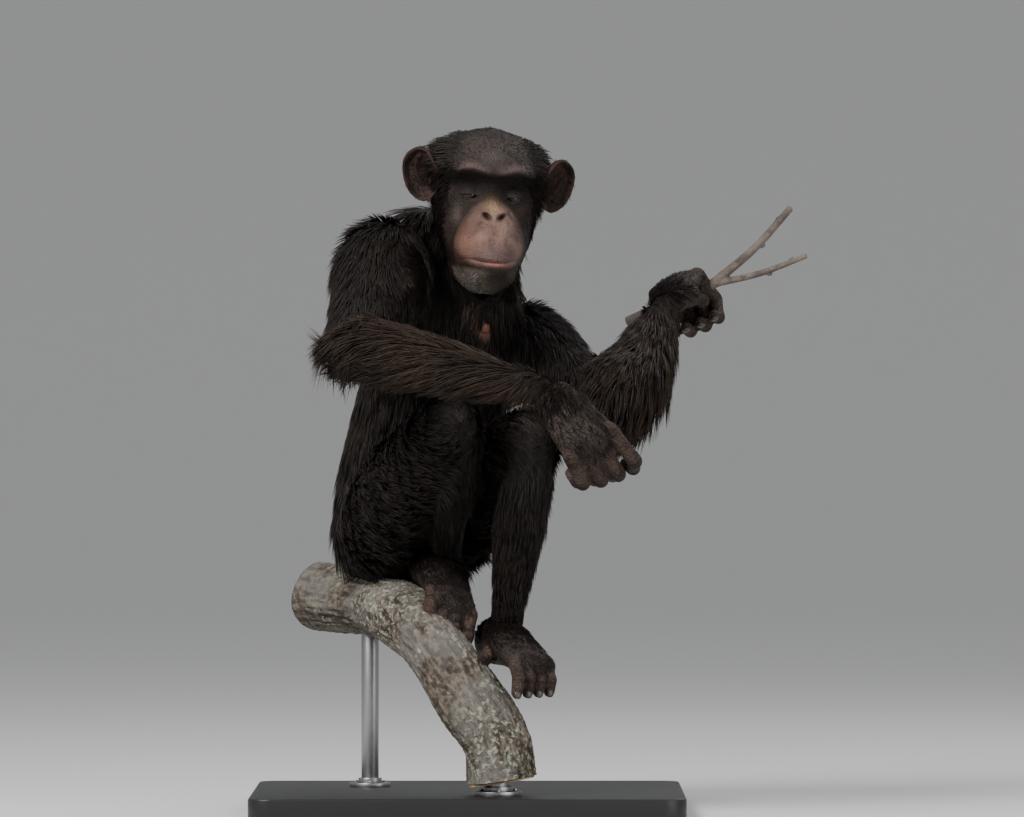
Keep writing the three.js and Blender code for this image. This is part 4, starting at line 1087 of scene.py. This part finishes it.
def laid_flat(points, parts):
    """Places of the roots on the skin laid flat: a column for each part, round and along it."""
    columns = list(dict.fromkeys(parts.tolist()))
    x, forward, z = in_head(points)
    u = np.arctan2(x, forward + 52) / (2 * np.pi) + 0.5
    v = (z + 126) / 216
    for number in columns:
        if number < 0:
            continue
        mine = parts == number
        tube = ALL_TUBES[TUBE_NAMES[number]]
        step = tube.nearest(points[mine])[1]
        away = points[mine] - tube.centres[step]
        side = dot(away, tube.sides[step])[:, 0]
        depth = dot(away, tube.depths[step])[:, 0]
        u[mine] = np.arctan2(depth, side) / (2 * np.pi) + 0.5
        v[mine] = (step + luck.random(len(step))) / len(tube.centres)
    column = np.searchsorted(np.sort(columns), parts)
    u = (column + 0.03 + 0.94 * np.clip(u, 0, 1)) / len(columns)
    return np.stack([u, 0.01 + 0.98 * np.clip(v, 0, 1)], axis=1)


def make_coat(name, chosen, amount, material):
    """One piece of coat: tufts rooted at random on the chosen triangles of the skin."""
    weight = triangle_weight * chosen
    picked = luck.choice(len(triangles), amount, p=weight / weight.sum())
    shares = luck.dirichlet((1, 1, 1), amount)

    def at_root(values):
        return np.einsum("nc,nc...->n...", shares, values[triangles[picked]])

    root = at_root(skin_points)
    normal = unit(at_root(skin_normals))
    along = at_root(lie)
    along = unit(along - normal * dot(along, normal))
    across = np.cross(along, normal)
    sway = 0.20 * ripple(root, 46, 1.0) + 0.16 * ripple(root, 19, 2.0)
    sway = (sway + luck.normal(0, 0.09, amount))[:, None]
    along = along * np.cos(sway) + across * np.sin(sway)
    across = np.cross(along, normal)
    long = at_root(length) * (1 + 0.12 * ripple(root, 70, 4.0)) * luck.uniform(0.72, 1.18, amount)
    lift = at_root(standing) * luck.uniform(0.5, 1.5, amount) + 5 * ripple(root, 24, 5.0)
    lift = np.radians(lift)
    fall = down + normal * np.maximum(0, -normal @ down)[:, None] * 0.9
    fall = fall * (0.26 * np.clip(long / 55, 0, 1.3))[:, None]

    def reach(t):
        """Where a tuft's middle line is at a share of its length."""
        rise = np.sin(lift)[:, None] * t * (1 - 0.5 * t)
        return root + long[:, None] * (along * t * 0.96 + normal * rise + fall * t ** 2)

    tips = reach(1.0)
    leaders = luck.choice(amount, amount // 9, replace=False)
    squares = (root ** 2).sum(axis=1)[:, None] + (root[leaders] ** 2).sum(axis=1)
    leader = leaders[(squares - 2 * root @ root[leaders].T).argmin(axis=1)]
    drawn = (tips[leader] - tips) * 0.45
    drawn *= np.minimum(1, 0.35 * long / np.maximum(np.linalg.norm(drawn, axis=1), 1))[:, None]
    half = (0.16 + 0.0155 * long) * luck.uniform(0.8, 1.2, amount)
    rings = []
    for t, taper in zip(TUFT_STATIONS, TUFT_TAPER):
        middle = reach(t) + drawn * t ** 1.6 - normal * 0.5 * (t == 0)
        wide = across * (half * taper)[:, None]
        rings += [middle - wide, middle + wide, middle + normal * (half * taper * 0.7)[:, None]]
    points = np.stack(rings + [tips + drawn], axis=1)
    tip = len(rings)
    faces = [(0, 1, 2)]
    for base in range(0, tip - 3, 3):
        for k in range(3):
            n = (k + 1) % 3
            faces += [(base + n, base + k, base + 3 + k), (base + n, base + 3 + k, base + 3 + n)]
    faces += [(tip - 3 + (k + 1) % 3, tip - 3 + k, tip) for k in range(3)]
    faces = (np.array(faces)[None] + np.arange(amount)[:, None, None] * (tip + 1)).reshape(-1, 3)
    piece = add_mesh(name, points.reshape(-1, 3), faces)
    piece.data.polygons.foreach_set("use_smooth", np.ones(len(faces), bool))
    stations = np.append(np.repeat(TUFT_STATIONS, 3), 1.0)
    sideways = np.append(np.tile([-1, 1, 0], len(TUFT_STATIONS)), 0)
    patch = np.stack([sideways / 2, stations - 0.5], axis=1) * UV_PATCH
    flat = laid_flat(root, triangle_part[picked])[:, None] + patch[None]
    layer = piece.data.uv_layers.new(name="OFBake")
    layer.data.foreach_set("uv", flat.reshape(-1, 2)[faces.ravel()].ravel())
    tone = np.clip(0.5 + 0.3 * ripple(root, 60, 6.0) + luck.normal(0, 0.22, amount), 0, 1)
    tone *= 0.45 + 0.55 * np.clip(long / 30, 0, 1)
    mark(piece.data, "along", np.tile(stations, amount))
    for key, values in {"tone": tone, "sleek": np.clip(long / 34, 0, 1), "rust": at_root(rust),
                        "pale_hair_and_sheen": at_root(pale_hair_and_sheen)}.items():
        mark(piece.data, key, np.repeat(values, tip + 1))
    piece.data.materials.append(material)
    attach(piece, "root")


def hair_finish(name, shine):
    """Black hair with brown tips, browner forearms, a pale chin and painted sheen on the left
    shin.
    """
    hair = Finish(name, {"Specular IOR Level": shine, "Specular Tint": (1.0, 0.95, 0.92, 1)})
    strand = hair.mix(hair.attribute("tone"), (0.0058, 0.0047, 0.0046), (0.0160, 0.0122, 0.0106))
    tip_share = hair.between(hair.attribute("along"), 0.35, 1.0) * hair.attribute("tone")
    strand = hair.mix(tip_share * 0.45, strand, (0.042, 0.029, 0.022))
    strand = hair.mix(hair.attribute("rust") * hair.attribute("tone") * 0.55, strand,
                      (0.058, 0.034, 0.019))
    # Pale hairs, and painted sheen on the left shin.
    strand = hair.mix(hair.attribute("pale_hair_and_sheen") * 0.7, strand, (0.300, 0.280, 0.250))
    return hair.finish(strand, roughness=0.84 - hair.attribute("sleek") * 0.36)


long_hair = hair_finish("long hair", 0.2)
short_hair = hair_finish("short hair", 0.05)
trunk = np.isin(triangle_part, numbers_of("torso", "neck"))
make_coat("coat_head", triangle_part < 0, TUFTS, short_hair)
make_coat("coat_front", trunk & triangle_front, TUFTS, long_hair)
make_coat("coat_back", trunk & ~triangle_front, TUFTS, long_hair)
for side in ("right", "left"):
    for limb_name, upper, lower in (("arm", "upper_arm", "forearm"), ("leg", "thigh", "shin")):
        chosen = np.isin(triangle_part, numbers_of(f"{upper}_{side}", f"{lower}_{side}"))
        make_coat(f"coat_{limb_name}_{side}", chosen, TUFTS, long_hair)
bare_parts = np.isin(triangle_part, numbers_of(*EXTREMITIES))
make_coat("coat_hands_feet", bare_parts, SHORT_TUFTS, short_hair)

# Nails: dark horn plates, convex and a little glossy, each half sunk in the back of a digit's
# tip. A hand's or a foot's five are one piece.
deselect_all()
bpy.ops.mesh.primitive_uv_sphere_add(segments=20, ring_count=12, radius=1)
pattern = bpy.context.object
plate = np.array([vertex.co[:] for vertex in pattern.data.vertices])
plate_faces = [list(polygon.vertices) for polygon in pattern.data.polygons]
bpy.data.objects.remove(pattern)
horn = Finish("nail horn", {"Specular IOR Level": 0.5, "Roughness": 0.34})
horn_colour = horn.mix(horn.noise(160, 3, horn.place((1, 1, 0.2))), (0.012, 0.009, 0.008),
                       (0.060, 0.045, 0.038))
horn_material = horn.finish(horn_colour, relief=horn.noise(500, 2), depth=0.0003)
for name, numbers in DIGITS_OF.items():
    points = []
    faces = []
    for k in numbers:
        item = digits[k]
        radius = item["radius"]
        across = unit(np.cross(item["heading"], item["back"]))
        own = plate * (0.66 * radius, 0.82 * radius, 0.36 * radius)
        middle = item["tip"] - item["heading"] * radius * 0.12 + item["back"] * radius * 0.60
        faces += [[index + len(plate) * len(points) for index in face] for face in plate_faces]
        points.append(middle + own @ np.array([across, item["heading"], item["back"]]))
    nails = add_mesh(f"nails_{name}", np.vstack(points), faces)
    nails.data.materials.append(horn_material)
    face_outward(nails)
    bpy.ops.object.shade_smooth()
    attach(nails, "root")

# Bough: a curved cut length of a thick tree limb, in furrowed bark with pale lichen, both ends
# sawn square. The animal squats on it, and the stand's rods hold it.
BOUGH_PATH = [(-232, 228, 262), (-160, 98, 256), (-130, 10, 248), (-100, -55, 230),
              (-66, -96, 189), (-36, -116, 142), (-6, -122, 92), (2, -122, 42)]
BOUGH_RADII = (44, 42, 42, 41, 41, 43, 42, 46)
BOUGH_RINGS = 300
AROUND_BOUGH = 150
bough_tube = Tube(BOUGH_PATH, [(r, r) for r in BOUGH_RADII], (0.6, 0, 0.8), (2, 2), 0,
                  rings=BOUGH_RINGS)
run = np.linspace(0, 1, BOUGH_RINGS)[:, None]
angle = round_about(AROUND_BOUGH)[None, :]
shape = 1 + 0.04 * np.sin(3 * angle + 9 * run) + 0.03 * np.sin(2 * angle - 14 * run)
bark_height = np.empty((BOUGH_RINGS, AROUND_BOUGH))
for i in range(BOUGH_RINGS):
    for j in range(AROUND_BOUGH):
        a = 2 * math.pi * j / AROUND_BOUGH
        spot = Vector((math.cos(a) * 5.2, math.sin(a) * 5.2, i / BOUGH_RINGS * 9))
        ridge = 1 - abs(noise.noise(spot)) * 3.0
        plates = 1 - 2 * abs(noise.noise(spot * 2.3 + Vector((0, 0, i / 22))))
        bark_height[i, j] = 1.1 * ridge + 1.2 * plates + 0.9 * noise.noise(spot * 8)
ring = np.arange(BOUGH_RINGS)
flat_end = np.clip(np.minimum(ring, BOUGH_RINGS - 1 - ring) / 3, 0, 1)[:, None]
bough_points = bough_tube.grid(AROUND_BOUGH)
middles = bough_tube.centres[:, None]
outward_way = unit(bough_points - middles)
bough_points = (middles + (bough_points - middles) * (0.985 * shape)[..., None]
                + outward_way * ((bark_height - 1.6) * flat_end)[..., None])
bough = body_object("bough", [bough_points])
mark(bough.data, "height", bark_height * flat_end)
bark = Finish("bark", {"Roughness": 0.9, "Specular IOR Level": 0.2})
flakes = bark.between(bark.noise(120, 8), 0.38, 0.62)
wood_colour = bark.mix(flakes, (0.052, 0.041, 0.031), (0.150, 0.123, 0.097))
# Painted shade: darker deep in the furrows, by the bark's relief height.
wood_colour = bark.mix(bark.between(bark.attribute("height"), -0.4, 1.6), (0.030, 0.023, 0.018),
                       wood_colour)
moss = bark.between(bark.noise(13, 6), 0.60, 0.70) * bark.between(bark.noise(70, 4), 0.4, 0.6)
wood_colour = bark.mix(moss * 0.6, wood_colour, (0.210, 0.225, 0.160))
grey = bark.between(bark.noise(19, 5), 0.45, 0.6)
wood_colour = bark.mix(grey * 0.45, wood_colour, (0.175, 0.165, 0.150))
crusty = bark.between(bark.noise(7, 3), 0.44, 0.58) * bark.between(bark.noise(150, 5), 0.52, 0.6)
crust = crusty + bark.between(bark.noise(48, 6), 0.66, 0.69)
wood_colour = bark.mix(crust * 0.62, wood_colour, (0.330, 0.340, 0.270))
bark_relief = bark.noise(130, 6) * 1.1 + bark.noise(420, 4) * 0.4 + crust * 0.35
bough.data.materials.append(bark.finish(wood_colour, relief=bark_relief, depth=0.0022))
face_outward(bough)
bpy.ops.object.shade_smooth_by_angle(angle=math.radians(50))
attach(bough, "root")
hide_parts("perch_bough")
sawn = Finish("sawn wood", {"Roughness": 0.75, "Specular IOR Level": 0.25})
rings_wave = sawn.maths("SINE", sawn.attribute("ring") * 1.9)
sawn_colour = sawn.mix(sawn.between(rings_wave + sawn.noise(60, 3), -0.6, 1.4),
                       (0.300, 0.180, 0.090), (0.480, 0.330, 0.190))
sawn_material = sawn.finish(sawn_colour, relief=sawn.noise(300, 3), depth=0.0006)
for name, end in (("upper", 0), ("lower", -1)):
    heading = bough_tube.tangents[end] * (-1 if end == 0 else 1)
    radius = BOUGH_RADII[end] - 5
    deselect_all()
    bpy.ops.mesh.primitive_cylinder_add(vertices=72, radius=radius / 1000, depth=0.006,
                                        end_fill_type="TRIFAN")
    disc = bpy.context.object
    disc.name = f"bough_end_{name}"
    bpy.ops.object.mode_set(mode="EDIT")
    bpy.ops.mesh.select_all(action="SELECT")
    bpy.ops.mesh.subdivide(number_cuts=3)
    bpy.ops.object.mode_set(mode="OBJECT")
    mark(disc.data, "ring", [
        math.hypot(v.co.x - 0.004, v.co.y) * 1000 for v in disc.data.vertices])
    disc.data.transform(turned_to(heading, bough_tube.centres[end] - heading * 2.4))
    disc.data.materials.append(sawn_material)
    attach(disc, "root")

# Branch: a thin forked length with smooth grey bark and buds, held in the left fist. Its
# twigs and buds are tubes fused into one.
GRIP = vec(237, 195, 648)
REACH = unit(BRANCH_WAY)
FORK = GRIP + 44 * REACH
branch_tubes = []


def twig(start, end, first, last, bow):
    middle = (start + end) / 2 + bow
    sizes = np.linspace(first, last, 3)
    branch_tubes.append(Tube([start, middle, end], [(r, r) for r in sizes], (0.2, 1, 0),
                             (2, 2), 0, rings=70))


twig(GRIP - 86 * REACH, FORK + 8 * REACH, 8, 6.6, vec(0, 0, 0))
twig(FORK - 6 * REACH, FORK + vec(96, -20, 96), 6, 4.4, vec(3, 0, -4))
twig(FORK - 6 * REACH, FORK + vec(116, -24, 34), 4.8, 3.4, vec(2, 0, -4))
for tube in list(branch_tubes):
    for part_way in (0.3, 0.55, 0.8):
        step = int(part_way * len(tube.centres))
        turn = 9 * part_way
        way = unit(tube.sides[step] * math.cos(turn) + tube.depths[step] * math.sin(turn))
        bud = tube.centres[step] + way * tube.sizes[step, 0] * 0.7
        branch_tubes.append(Tube([bud, bud + way * 2 + tube.tangents[step] * 3,
                                  bud + way * 3.2 + tube.tangents[step] * 7],
                                 [(2.2, 2.2), (2.4, 2.4), (1.2, 1.2)], tube.tangents[step],
                                 (1, 1), 0, rings=16))
branch = body_object("branch", [tube.grid(20) for tube in branch_tubes])
fuse(branch, 1.1, 2)
smooth_bark = Finish("twig bark", {"Roughness": 0.7, "Specular IOR Level": 0.3})
twig_colour = smooth_bark.mix(smooth_bark.between(smooth_bark.noise(45, 5), 0.35, 0.65),
                              (0.074, 0.057, 0.047), (0.145, 0.120, 0.100))
twig_colour = smooth_bark.mix(smooth_bark.between(smooth_bark.noise(210, 4), 0.56, 0.7) * 0.5,
                              twig_colour, (0.205, 0.182, 0.152))
branch.data.materials.append(smooth_bark.finish(
    twig_colour, relief=smooth_bark.noise(220, 5), depth=0.0009))
make_active(branch)
bpy.ops.object.shade_smooth()
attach(branch, "root")
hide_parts("perch_branch")

# Stand: a satin black plate with eased edges, two brushed steel rods up into the bough, and a
# round flange with three screws at the foot of each.
BASE = {"x": -40, "y": 20, "width": 540, "depth": 500, "height": 25, "corner": 28}


def metres(x, y, z):
    """A place in the pose's millimetres as one in the scene's metres."""
    return Vector((vec(x, y, z) + ORIGIN) / 1000)


deselect_all()
bpy.ops.mesh.primitive_cube_add(size=1)
base = bpy.context.object
base.name = "base_plate"
base.data.transform(Matrix.Diagonal(
    (BASE["width"] / 1000, BASE["depth"] / 1000, BASE["height"] / 1000, 1)))
bpy.ops.object.mode_set(mode="EDIT")
bpy.ops.mesh.select_mode(type="EDGE")
bpy.ops.mesh.select_all(action="DESELECT")
bpy.ops.object.mode_set(mode="OBJECT")
for edge in base.data.edges:
    low, high = (base.data.vertices[i].co for i in edge.vertices)
    edge.select = abs(low.z - high.z) > 0.01
bpy.ops.object.mode_set(mode="EDIT")
bpy.ops.mesh.bevel(offset=BASE["corner"] / 1000, segments=14, affect="EDGES")
bpy.ops.object.mode_set(mode="OBJECT")
apply(base, "BEVEL", {"width": 0.0022, "segments": 3, "limit_method": "ANGLE",
                      "angle_limit": math.radians(60)})
base.data.transform(Matrix.Translation(metres(BASE["x"], BASE["y"], BASE["height"] / 2)))
bpy.ops.object.shade_smooth_by_angle(angle=math.radians(30))
satin = Finish("satin black", {"Base Color": (0.011, 0.011, 0.012, 1), "Metallic": 0.0,
                               "Roughness": 0.42, "Specular IOR Level": 0.4})
base.data.materials.append(satin.finish(relief=satin.noise(700, 3), depth=0.0002))
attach(base, "root")
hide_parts("stand_base")
steel = Finish("brushed steel", {"Base Color": (0.36, 0.36, 0.37, 1), "Metallic": 1.0})
brushed = steel.noise(90, 4, steel.place((1, 1, 14)))
steel_material = steel.finish(roughness=0.26 + brushed * 0.22, relief=brushed, depth=0.0001)
RODS = {
    # x, y, radius, top
    "rear": (-165, 108, 11, 240),
    "front": (-2, -122, 14, 60),
}
FLANGE = {"wider": 15, "height": 5, "collar": 4, "collar_top": 11}
SCREW = {"radius": 3.1, "height": 2.6, "out": 10, "up": 6.3}
for name, (x, y, radius, top) in RODS.items():
    parts = []
    foot_z = BASE["height"]
    deselect_all()
    for wide, low, high in (
            (radius, foot_z, top),
            (radius + FLANGE["wider"], foot_z, foot_z + FLANGE["height"]),
            (radius + FLANGE["collar"], foot_z + FLANGE["height"], foot_z + FLANGE["collar_top"])):
        bpy.ops.mesh.primitive_cylinder_add(
            vertices=64, radius=wide / 1000, depth=(high - low) / 1000,
            location=metres(x, y, (low + high) / 2))
        parts.append(bpy.context.object)
    for k in range(3):
        turn = math.radians(30 + 120 * k)
        away = radius + SCREW["out"]
        bpy.ops.mesh.primitive_cylinder_add(
            vertices=6, radius=SCREW["radius"] / 1000, depth=SCREW["height"] / 1000,
            location=metres(x + away * math.cos(turn), y + away * math.sin(turn),
                            foot_z + SCREW["up"]))
        parts.append(bpy.context.object)
    for piece in parts:
        piece.select_set(True)
    bpy.context.view_layer.objects.active = parts[0]
    bpy.ops.object.join()
    rod = bpy.context.object
    rod.name = f"rod_{name}"
    bpy.ops.object.transform_apply(location=True)
    apply(rod, "BEVEL", {"width": 0.0006, "segments": 2, "limit_method": "ANGLE"})
    bpy.ops.object.shade_smooth_by_angle(angle=math.radians(35))
    rod.data.materials.append(steel_material)
    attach(rod, "root")
    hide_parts(f"stand_rod_{name}")

low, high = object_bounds()
